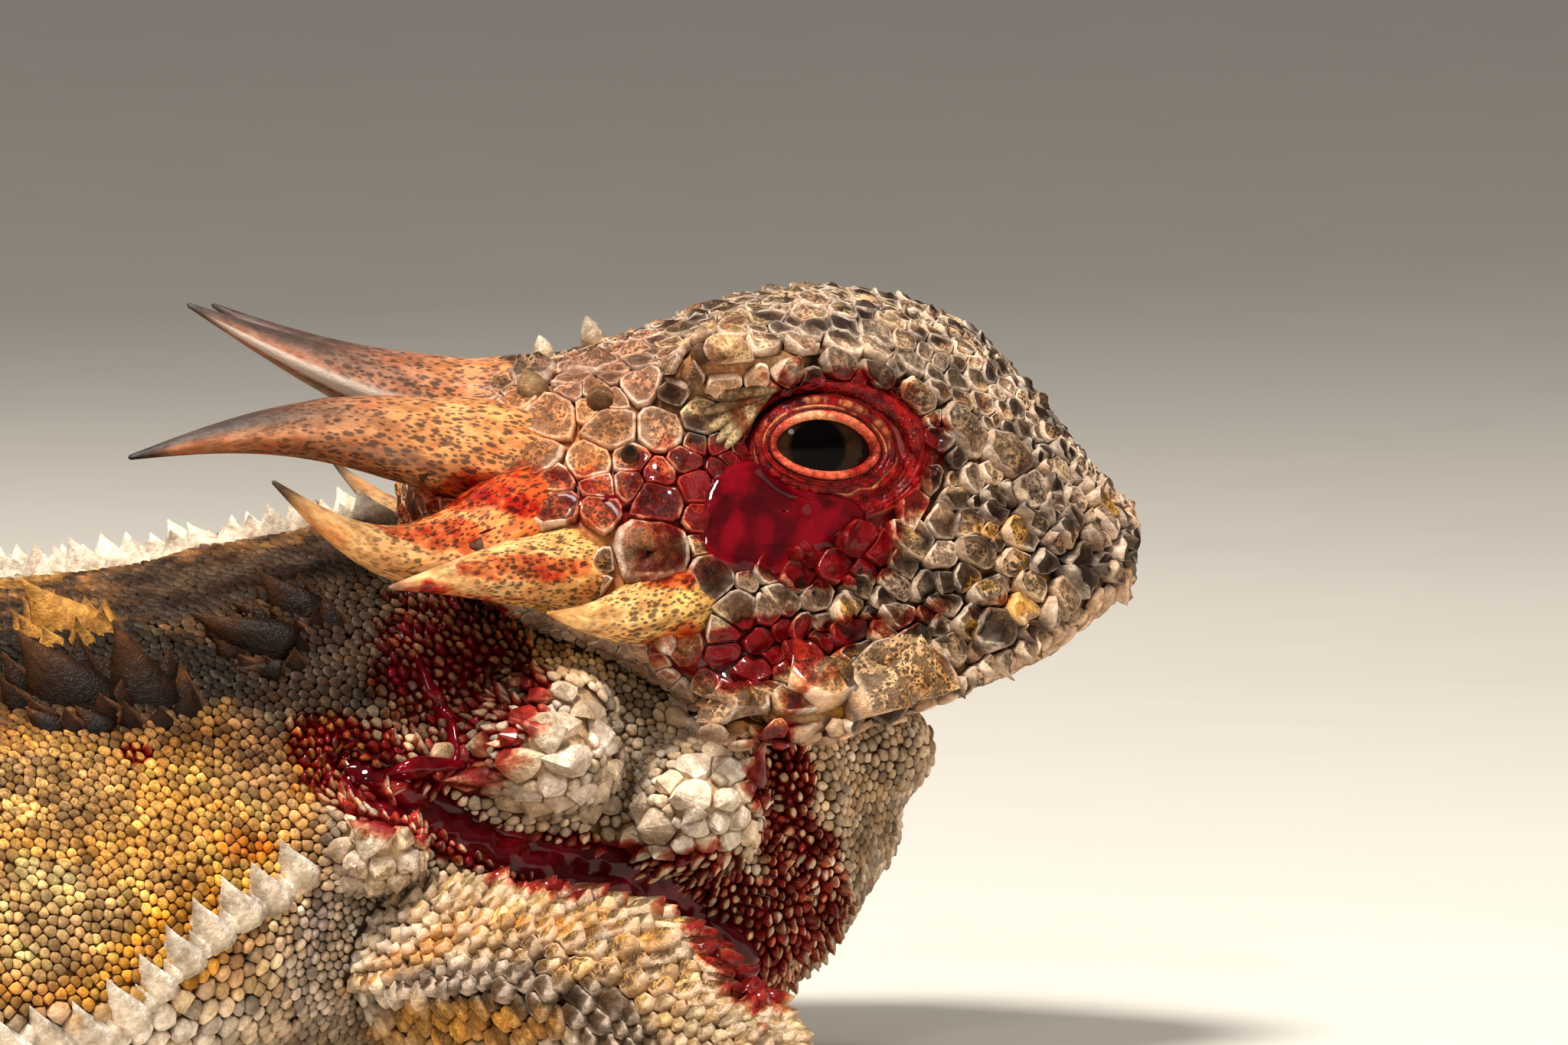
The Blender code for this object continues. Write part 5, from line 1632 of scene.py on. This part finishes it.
for side in SIDES.values():
    line = fringe_line(side)
    arc = np.concatenate(((0.0,), np.cumsum(np.linalg.norm(np.diff(line, axis=0), axis=1))))
    for number, reach in enumerate(np.arange(0, arc[-1], FRINGE_STEP / 3)):
        k = int(np.searchsorted(arc, reach))
        large = number % 3 == 0
        size = (1.0 if large else 0.5) * (0.9 + 0.25 * rng.random())
        lean = np.array((-0.4, side * 1.0, 1.15)) * size
        foot = line[k] - np.array((0.0, 0.0, 0.0 if large else 0.25))
        spine(spines, foot, lean, 0.74 * size, 0.5 * size, np.array((1.0, 0.0, 0.35)), WHITE, IVORY,
              speckle=0.05, sides=8, rings=8)
# The white row along the spine, dark spines in rows and small ones between them.
for x in np.arange(-22.0, -86.0, -0.8):
    for side in SIDES.values():
        root = dropped(x, midline(x) + side * (0.5 + 1.0 * rng.random()))
        size = 0.6 + 0.7 * rng.random()
        lean = np.array((-0.6 * rng.random(), side * (0.6 * rng.random() - 0.1), 0.95)) * size
        spine(spines, root, lean, 0.85 * size, 0.62 * size, np.array((1.0, 0.0, 0.0)), WHITE, IVORY,
              speckle=0.1, sides=8, rings=7)
for row, (share, rise) in enumerate(SPINE_ROWS):
    for x in np.arange(SPINE_FRONT_X - SPINE_STEP / 2 * row, SPINE_BACK_X, -SPINE_STEP):
        for side in SIDES.values():
            root = dropped(x, midline(x) + side * share * looked_up(HALF_WIDTHS, x))
            lean = np.array((-1.5, side * share, rise + 0.2))
            spine(spines, root, lean, 1.15, 0.6, np.array((1.0, 0.0, 0.6)), SOOT, EMBER)
            for place, small_lean in rosette_of(root, lean, 1.15, torso):
                spine(spines, place, small_lean, 0.46, 0.34, np.array((1.0, 0.0, 0.3)), SOOT, EMBER, sides=8,
                      rings=6)
small = order[back & (is_head < 0.5) & (is_limb < 0.5) & (up > 0.35) & (x > -112) & (x < -38)]
small = small[rng.random(len(small)) < 0.035]
small_tints, _ = tint_at(seeds[small], normals[small])
for i, tint in zip(small, small_tints):
    lean = unit(normals[i] + np.array((-0.9, 0, 0.2))) * (0.7 + 0.6 * rng.random())
    spine(spines, seeds[i], lean, 0.5, 0.3, np.array((0.0, 1.0, 0.0)), tint * 1.1, tint * 1.4, sides=6,
          rings=6)
spines.made("spines", spine_material, "lizard_skin", on_skin=True)

# The long scales that fan out behind the eye.
UPWARD = np.array((0.0, 0.0, 1.0))
FAN_FOOT = (1012, 504)
FAN_TIPS = ((925, 516), (918, 538), (930, 560), (946, 572), (962, 575))
fan = Growth()
for n, tip_px in enumerate(FAN_TIPS):
    shares = np.linspace(0, 1, 12)[:, None]
    pixels = np.array(FAN_FOOT) + (-4 * n, 3 * n) + (np.array(tip_px) - FAN_FOOT) * shares
    right_axis = seen_at(pixels)
    lift = 0.12 + 0.1 * np.sin(math.pi * shares)
    right_axis = right_axis + body.normal(right_axis) * lift
    widths = 0.24 * np.interp(shares[:, 0], (0, 0.15, 0.6, 0.9, 1), (0.5, 0.8, 1, 0.7, 0.25))
    fan_tone = mixed(srgb(150, 122, 88), srgb(206, 180, 140), (n / 4,))[0]
    for side in SIDES.values():

        def fan_colours_with_painted_shade(points, along, outward):
            # Painted shade and light: each long scale is darker on its face towards the skull and lighter on
            # its outer face.
            edge = smooth(0.2, 0.8, outward @ np.array((0.0, side, 0.0)))
            return mixed(fan_tone * 0.45, fan_tone * 1.15, edge), marks(0.0, blood_at(points) * 0.25, 0.6)

        fan.shaft(flipped(right_axis, -side), UPWARD, widths, widths * 0.7, fan_colours_with_painted_shade, 10)
fan.made("eye_fan", plate_material, "lizard_skin", on_skin=True)

# Digits and claws, where the solids have them: places, headings in degrees and lengths.
WRIST, ANKLE = (-11.6, 30.2), (-87.0, 31.2)
STRIDES = {"arm": {"right": 0.0, "left": -8.0}, "leg": {"right": 0.0, "left": 4.5}}
PALM, SOLE = (0.8, 1.4, 1.9), (0.9, 1.6, 2.4)
FINGERS = ((-6, 3.0), (16, 4.4), (36, 5.2), (58, 4.8), (84, 3.2))
TOES = ((2, 3.0), (16, 4.6), (30, 6.2), (46, 7.6), (74, 4.2))
# Places along a claw, with its lift and half width.
CLAW_RINGS = ((-0.25, 0.0, 0.4), (0.1, 0.16, 0.42), (0.5, 0.14, 0.32), (0.95, -0.08, 0.19),
              (1.3, -0.36, 0.06))
DIGIT_BAND = 0.46


def claw_colours(points, shares, outward):
    """Brown claws that are darker towards their tips."""
    tint = mixed(srgb(150, 118, 84), srgb(52, 38, 28), smooth(0.1, 0.8, shares))
    return tint, marks(0.0, shares * 0, 0.2)


def grow_digit(growth, foot, way, length):
    """A finger or toe with rings of scales, from inside the palm to the claw's foot."""
    bands = round((length + 0.9) / DIGIT_BAND)
    shares = np.linspace(0, 1, bands * 4 + 1)
    reach = -0.9 + (length + 0.9) * shares
    lift = np.interp(reach, (0.0, 0.45 * length, length), (0.1, 0.42, 0.02))
    girth = np.interp(reach, (0.0, 0.45 * length, length), (0.62, 0.6, 0.46))
    axis = foot + way * reach[:, None] + UPWARD * lift[:, None]

    def step(places):
        return np.abs(np.sin(places * bands * math.pi))

    def colouring(points, places, outward):
        tint, _ = tint_at(points, outward)
        lit = 0.4 + 0.75 * smooth(0.1, 0.7, step(places))
        return tint * lit[:, None], marks(0.0, places * 0, 0.4)

    def ridge(places, angles):
        return 0.9 + 0.14 * smooth(0.0, 0.7, step(places))[:, None] * (1 + 0.3 * np.cos(angles * 5))[None]

    growth.shaft(axis, np.cross(way, UPWARD), girth, girth * 0.85, colouring, 15, ridge)


claws, fingers = Growth(), Growth()
for limb, end, (ahead, out, size), digits in (("arm", WRIST, PALM, FINGERS), ("leg", ANKLE, SOLE, TOES)):
    for label, side in SIDES.items():
        centre = np.array((end[0] + STRIDES[limb][label] + ahead, side * (end[1] + out), 0.5))
        for heading, length in digits:
            turn = math.radians(heading)
            way = np.array((math.cos(turn), side * math.sin(turn), 0.0))
            grow_digit(fingers, centre + way * (size * 0.7), way, length)
            start = centre + way * (size * 0.7 + length)
            knots = np.array(CLAW_RINGS)
            shares = np.linspace(knots[0, 0], knots[-1, 0], 14)
            lift, girth = (np.interp(shares, knots[:, 0], knots[:, k]) for k in (1, 2))
            axis = start + way * shares[:, None] + UPWARD * lift[:, None]
            claws.shaft(axis, np.cross(way, UPWARD), girth * 0.8, girth, claw_colours, 12)
claws.made("claws", horn_material, "horn_keratin")
fingers.made("digit_scales", granule_material, "lizard_skin", on_skin=True)

# ---------------------------------------------------------------- eyes
# The eye's opening in the frame: middle, turn, half length, and how far it opens up and down.
OPENING_CENTRE, OPENING_TURN = np.array((1077.0, 586.0)), math.radians(6)
OPENING_HALF, OPENING_RISE, OPENING_DROP = 62.0, 37.0, 28.0
# The lids run along the opening's edge as far as the band, and from there to their outer edge.
LID_TURNS, LID_BAND, LID_REACH = 240, 0.95, 2.3
# Height of the lids over the body, against the distance from the opening's edge.
LID_PROFILE = ((0.0, -0.14), (0.01, 0.04), (0.05, 0.15), (0.13, 0.2), (0.22, 0.19), (0.29, 0.11),
               (0.34, 0.05), (0.4, 0.14), (0.45, 0.16), (0.5, 0.08), (0.58, 0.15), (0.7, 0.15), (0.78, 0.07),
               (0.9, 0.1), (1.05, 0.0), (1.2, -0.1), (1.45, -0.1), (1.8, 0.0), (2.4, 0.05))
# Tones of the lids, the rim, the painted highlight on the rim, and the painted shade in the groove round the
# rim and in the crease above it, without blood and with it.
LID_TONES = (
    (srgb(150, 126, 104), srgb(206, 168, 128), srgb(232, 206, 168), srgb(58, 44, 36)),
    (srgb(104, 16, 14), srgb(206, 66, 42), srgb(246, 168, 122), srgb(30, 5, 5)),
)


def bell(value, middle, width):
    """1 where value is the middle, falling smoothly to both sides."""
    return np.exp(-((value - middle) / width) ** 2)


def opening(turns):
    """The outline of the eye's opening in the frame, from the front corner round by the top."""
    lift = np.where(np.sin(turns) > 0, OPENING_RISE, OPENING_DROP)
    u = OPENING_HALF * np.cos(turns)
    v = lift * np.sin(turns) * np.abs(np.sin(turns)) ** 0.12
    c, s = math.cos(OPENING_TURN), math.sin(OPENING_TURN)
    return OPENING_CENTRE + np.stack((u * c + v * s, u * s - v * c), axis=1)


def lid_grid():
    """The lids' rings on the right side: points, normals, distances and the length round."""
    turns = turns_round(LID_TURNS)
    edge = opening(turns)
    run = np.roll(edge, -1, axis=0) - np.roll(edge, 1, axis=0)
    outward = unit(np.stack((-run[:, 1], run[:, 0]), axis=1))
    if np.mean(np.sum(outward * (edge - OPENING_CENTRE), axis=1)) < 0:
        outward = -outward
    steps = np.linalg.norm(np.roll(edge, -1, axis=0) - edge, axis=1) * PIXEL
    round_length = np.cumsum(steps) - steps
    outline = LID_CENTRE + np.stack((LID_HALF[0] * np.cos(turns), -LID_HALF[1] * np.sin(turns)), axis=1)
    distances = np.concatenate((np.arange(0, LID_BAND, 0.032), np.linspace(LID_BAND, LID_REACH, 28)))
    rings = []
    for distance in distances:
        inner = edge + outward * min(distance, LID_BAND) / PIXEL
        share = max(0.0, (distance - LID_BAND) / (LID_REACH - LID_BAND))
        rings.append(inner * (1 - share) + outline * share)
    base = relaxed(seen_at(np.concatenate(rings)).reshape(len(distances), LID_TURNS, 3), 6)
    normal = relaxed(body.normal(base.reshape(-1, 3)).reshape(base.shape), 8, unit)
    return turns, distances, round_length, base, normal


lid_turns, lid_distances, lid_round, lid_base, lid_normal = lid_grid()
lid_material, eye_material = wet_lid(), eye_cornea()


def build_lids(label, side):
    """The lids of one eye: a fleshy rim, rows of small scales and folds down to the head."""
    s, t = np.meshgrid(lid_distances, lid_turns, indexing="ij")
    length = np.tile(lid_round, (len(lid_distances), 1))
    upper = smooth(-0.15, 0.15, np.sin(t))
    height = looked_up(LID_PROFILE, s)
    notch = np.abs(np.sin(math.pi * length / 0.34)) ** 0.35
    in_rim = smooth(0.0, 0.05, s) * smooth(0.3, 0.26, s)
    height -= 0.035 * in_rim * (1 - notch)
    in_row = smooth(0.5, 0.56, s) * smooth(0.8, 0.74, s)
    beads = np.abs(np.sin(math.pi * length / 0.27)) ** 0.5
    height -= 0.07 * in_row * (1 - beads)
    outer = smooth(0.85, 1.1, s)
    grains = np.abs(np.sin(math.pi * length / 0.3 + 5 * s)) * np.abs(np.sin(math.pi * s / 0.2))
    height += outer * 0.06 * grains * smooth(LID_REACH, 2.0, s)
    height -= 0.42 * bell(s, 1.02, 0.15) * upper
    height += 0.3 * bell(s, 1.5, 0.26) * upper
    height -= 0.2 * smooth(2.15, LID_REACH, s)
    points = lid_base + lid_normal * height[..., None]
    flat = points.reshape(-1, 3)
    ground, rim_tone, rim_light, painted_shade_tone = LID_TONES[side < 0]
    thickness = 0.12 + 0.15 * np.abs(np.sin(t)) ** 0.6 * np.where(np.sin(t) > 0, 1.0, 0.7)
    rim = smooth(thickness + 0.03, thickness - 0.03, s).ravel()
    rear_top = smooth(-0.3, 0.6, np.sin(t + 0.5)) * smooth(0.75, -0.3, np.cos(t))
    light = smooth(0.2, 0.6, noise(flat, 0.5, 2.0)) * rim * (0.25 + rear_top.ravel())
    tint = mixed(ground, rim_tone, rim)
    tint = mixed(tint, rim_light, np.minimum(light * 0.8, 1))
    corner = np.maximum(smooth(0.8, 0.97, np.abs(np.cos(t))), smooth(0.3, 0.6, np.cos(t)) * (1 - upper))
    corner = (corner * rim.reshape(s.shape)).ravel()
    tint = mixed(tint, tint * np.array((0.4, 0.12, 0.12)), corner * 0.9)
    # Painted shade in the grooves between the notches of the rim.
    tint = mixed(tint, tint * 0.35, rim * (1 - notch.ravel()) * 0.8)
    broken = smooth(0.38, 0.5, noise(flat, 0.4, 6.0))
    thread = (bell(s, 0.42, 0.03) * upper).ravel() * broken
    beaded = (in_row * beads * upper).ravel() * smooth(0.45, 0.6, noise(flat, 0.35, 1.0)) * 0.55
    scallop = bell(s, 0.78 + 0.05 * np.sin(length * 11), 0.035) * smooth(0.2, -0.3, np.sin(t))
    thread = np.maximum(np.maximum(thread, beaded), scallop.ravel() * 0.8)
    tint = mixed(tint, srgb(228, 150, 92), thread * 0.9)
    # Painted shade in the crease above the upper lid and in the groove just outside the rim.
    shadow = (bell(s, 1.04, 0.2) * upper).ravel()
    gap = bell(s, thickness + 0.07, 0.035).ravel()
    tint = mixed(tint, painted_shade_tone, np.maximum(shadow * 0.9, gap * 0.85))
    edge = smooth(1.9, 2.2, s).ravel()
    tint = mixed(tint, srgb(150, 110, 84), edge * 0.6)
    wet = (smooth(thickness + 0.05, thickness + 0.2, s)
           * (1 - 0.7 * smooth(0.45, 0.75, noise(flat, 0.35, 3.0).reshape(s.shape)))).ravel()
    wet = wet * (1 - thread) * (1 - 0.85 * shadow) * (1 - 0.5 * edge)
    blood = wet if side < 0 else wet * 0
    rows = [points[0] - lid_normal[0] * 0.5, *points, points[-1] - lid_normal[-1] * 0.6]
    quads = grid_quads(len(rows), LID_TURNS, ring=True)
    obj = make_mesh(f"eyelids_{label}", flipped(np.concatenate(rows), -side),
                    quads if side < 0 else quads[:, ::-1])
    tint, blood = (np.concatenate((each[:LID_TURNS], each, each[-LID_TURNS:])) for each in (tint, blood))
    paint(obj, "Tint", tint)
    paint(obj, "Marks", marks(0.0, blood, 0.0))
    finished(obj, lid_material, "lizard_skin")


EYE_AXIS = unit(np.array((0.28, 1.0, 0.02)))
EYE_TURNS, EYE_RINGS = 96, 48


def build_eyeball(label, side):
    """A dark eye with a round pupil, a brown iris and a slightly raised cornea."""
    axis = flipped(EYE_AXIS, side)
    first = unit(np.cross(axis, UPWARD))
    second = np.cross(axis, first)
    polar = np.linspace(0, math.pi, EYE_RINGS + 1)[1:-1]
    p, t = (grid.ravel() for grid in np.meshgrid(polar, turns_round(EYE_TURNS), indexing="ij"))
    p, t = np.append(p, (0.0, math.pi)), np.append(t, (0.0, 0.0))
    radius = EYE_RADIUS - 0.2 + 0.06 * bell(p, 0.0, 0.6)
    ways = (axis * np.cos(p)[:, None] + first * (np.sin(p) * np.cos(t))[:, None]
            + second * (np.sin(p) * np.sin(t))[:, None])
    points = flipped(EYE_CENTRE, side) + ways * radius[:, None]
    streak = 0.6 + 0.8 * noise(np.stack((t * 9, p * 3, p * 0), axis=1), 1.0)
    iris = srgb(40, 23, 12) * streak[:, None]
    tint = mixed(srgb(16, 9, 8), iris, smooth(0.66, 0.58, p))
    tint = mixed(tint, srgb(3, 2, 2), smooth(0.38, 0.34, p))
    tint = mixed(tint, srgb(92, 70, 74), smooth(0.66, 0.95, p) * smooth(-0.4, -0.75, ways[:, 0]) * 0.7)
    pole = len(points) - 2
    k = np.arange(EYE_TURNS)
    caps = np.concatenate((capped(k, pole), capped(pole - EYE_TURNS + k, pole + 1)[:, TURNED_TRIANGLE]))
    obj = make_mesh(f"eyeball_{label}", points, grid_quads(EYE_RINGS - 1, EYE_TURNS), caps)
    paint(obj, "Tint", tint)
    finished(obj, eye_material, "eye_cornea", f"eye_{label}")


for label, side in SIDES.items():
    build_lids(label, side)
    build_eyeball(label, side)

# ---------------------------------------------------------------- standing blood, on the right
pool_material = blood_pool()


def film(name, pixels, heights, closed):
    """A film of blood over a grid of places in the frame, with the given heights."""
    rows, columns = heights.shape
    base = seen_at(pixels.reshape(-1, 2)).reshape(rows, columns, 3)
    if not closed:
        middle = base[:, columns // 2, 1:2]
        base[..., 1] = np.clip(base[..., 1], middle - 1.2, middle + 1.2)
    base = relaxed(base, 10)
    normal = relaxed(body.normal(base.reshape(-1, 3)).reshape(base.shape), 6, unit)
    top = base + normal * heights[..., None]
    below = base - normal * 0.45
    points = np.concatenate((top.reshape(-1, 3), below.reshape(-1, 3)))
    size = rows * columns
    face = grid_quads(rows, columns, closed)
    quads = [face, face[:, ::-1] + size]

    def wall(ring):
        following = np.roll(ring, -1)
        return np.stack((ring, following, following + size, ring + size), axis=1)

    k = np.arange(columns)
    if closed:
        quads += [wall(k)[:, ::-1], wall(size - columns + k)]
    else:
        left = np.arange(rows) * columns
        right_edge = (left + columns - 1)[::-1]
        quads.append(wall(np.concatenate((left, size - columns + k[1:], right_edge[1:], k[-2:0:-1]))))
    obj = make_mesh(name, points, np.concatenate(quads))
    mesh = bmesh.new()
    mesh.from_mesh(obj.data)
    bmesh.ops.recalc_face_normals(mesh, faces=mesh.faces)
    mesh.to_mesh(obj.data)
    mesh.free()
    return finished(obj, pool_material, "lizard_skin")


# The pool's thickness from its middle to its edge, and the line of a swollen tear in it.
POOL_PROFILE = ((0, 0.3), (0.75, 0.28), (0.9, 0.2), (0.97, 0.08), (1.0, -0.1))
POOL_TURNS, POOL_RINGS = 144, 34
turns = turns_round(POOL_TURNS)
shares = np.linspace(0.02, 1, POOL_RINGS)
ways = np.stack((np.cos(turns), -np.sin(turns)), axis=1)
pool_pixels = np.array(POOL_CENTRE) + shares[:, None, None] * (pool_reach(turns)[:, None] * ways)[None]
pool_heights = looked_up(POOL_PROFILE, shares)[:, None] * np.ones(POOL_TURNS)
tear = np.array(((952.0, 582.0), (1046.0, 662.0)))
way = tear[1] - tear[0]
along = np.clip(((pool_pixels - tear[0]) @ way) / (way @ way), 0, 1)
off = np.linalg.norm(pool_pixels - tear[0] - along[..., None] * way, axis=-1)
pool_heights += 0.26 * np.exp(-(off / 14) ** 2) * smooth(1.0, 0.9, shares)[:, None]
film("blood_pool", pool_pixels, pool_heights, closed=True)

# Ribbons of blood: the way of each in the frame, its half width and its thickness.
RIBBONS = (
    (((905, 655), (850, 652), (790, 652), (730, 662), (670, 682), (618, 700)), 12, 0.2),
    (((440, 985), (475, 1016), (540, 1046), (600, 1078), (650, 1106), (710, 1126), (800, 1146),
      (880, 1162), (930, 1200)), 33, 0.8),
    (((925, 1190), (950, 1232), (966, 1268), (968, 1300)), 28, 0.7),
    (((540, 860), (562, 905), (590, 950), (596, 990), (570, 1030)), 11, 0.45),
    (((610, 1000), (560, 1000), (500, 1010)), 14, 0.5),
)
for number, (way, half_width, thickness) in enumerate(RIBBONS):
    line = relaxed(between(way, 16 * len(way)), 12)
    run = unit(np.gradient(line, axis=0))
    side_way = np.stack((-run[:, 1], run[:, 0]), axis=1)
    shares = np.linspace(-1, 1, 17)
    ends = np.sin(math.pi * np.linspace(0.02, 0.98, len(line))) ** 0.5
    width = half_width * ends * (0.7 + 0.6 * noise(np.pad(line, ((0, 0), (0, 1))), 30.0))
    pixels = line[:, None] + side_way[:, None] * (shares[None, :, None] * width[:, None, None])
    heights = (thickness * (1 - np.abs(shares) ** 3) - 0.08)[None] * (0.5 + 0.5 * ends[:, None])
    ripple = noise(np.pad(pixels.reshape(-1, 2), ((0, 0), (0, 1))), 16.0)
    heights = heights * (0.7 + 0.6 * ripple.reshape(heights.shape))
    film(f"blood_run_{number}", pixels, heights, closed=False)

# ---------------------------------------------------------------- camera, light and floor
camera = bpy.data.objects.new("camera", bpy.data.cameras.new("camera"))
bpy.context.scene.collection.objects.link(camera)
camera.location = (VIEWPOINT + ORIGIN) * MM
camera.rotation_euler = Vector(BACK).to_track_quat("Z", "Y").to_euler()
SENSOR_WIDTH = 36
camera.data.sensor_width = SENSOR_WIDTH
camera.data.lens = SENSOR_WIDTH * CAMERA_DISTANCE / FRAME_WIDTH
camera.data.clip_start = 0.01
bpy.context.scene.camera = camera
LIT_PLACE = Vector((0.03, 0, 0.015))


def soft_light(name, place, size, power, colour, mirrored=True):
    """A round light that faces the head; mirrored says whether wet surfaces reflect it."""
    light = bpy.data.lights.new(name, "AREA")
    light.shape = "DISK"
    light.size = size
    light.energy = power
    light.color = colour
    obj = bpy.data.objects.new(name, light)
    obj.location = place
    obj.rotation_euler = (Vector(place) - LIT_PLACE).to_track_quat("Z", "Y").to_euler()
    obj.visible_glossy = mirrored
    bpy.context.scene.collection.objects.link(obj)


soft_light("key_light", (-0.06, -0.24, 0.47), 0.16, 5.0, (1.0, 0.96, 0.9))
soft_light("fill_light", (0.55, -0.34, 0.16), 0.4, 1.3, (1.0, 0.98, 0.96), mirrored=False)
soft_light("rim_light", (-0.1, 0.4, 0.35), 0.3, 1.3, (1.0, 0.95, 0.88), mirrored=False)
soft_light("catch_light", (0.0, -0.3, 0.16), 0.045, 0.2, (1.0, 0.98, 0.95))
world = bpy.data.worlds.new("studio")
world.use_nodes = True
world.node_tree.nodes["Background"].inputs["Color"].default_value = (0.93, 0.9, 0.86, 1)
world.node_tree.nodes["Background"].inputs["Strength"].default_value = 0.24
bpy.context.scene.world = world
bpy.context.scene.view_settings.view_transform = "Standard"

# A floor that is flat round the lizard and rises slowly to a far rim.
FLOOR_TURNS, FLAT_RADIUS, FLOOR_RADIUS, FLOOR_RISE = 64, 300.0, 3000.0, 800.0
floor_radii = np.concatenate(((50.0, 150.0, FLAT_RADIUS), np.geomspace(450, FLOOR_RADIUS, 18)))
slope = np.clip((floor_radii - FLAT_RADIUS) / (FLOOR_RADIUS - FLAT_RADIUS), 0, None)
floor_heights = FLOOR_RISE * slope ** 1.8
turns = turns_round(FLOOR_TURNS)
rings = np.stack([np.stack((np.cos(turns) * r, np.sin(turns) * r, np.full(FLOOR_TURNS, h)), axis=1)
                  for r, h in zip(floor_radii, floor_heights)])
points = np.concatenate((rings.reshape(-1, 3), np.zeros((1, 3)))) - ORIGIN
floor = make_mesh("studio_floor", points, grid_quads(len(rings), FLOOR_TURNS),
                  capped(np.arange(FLOOR_TURNS), len(points) - 1))
floor.data.materials.append(studio_floor())
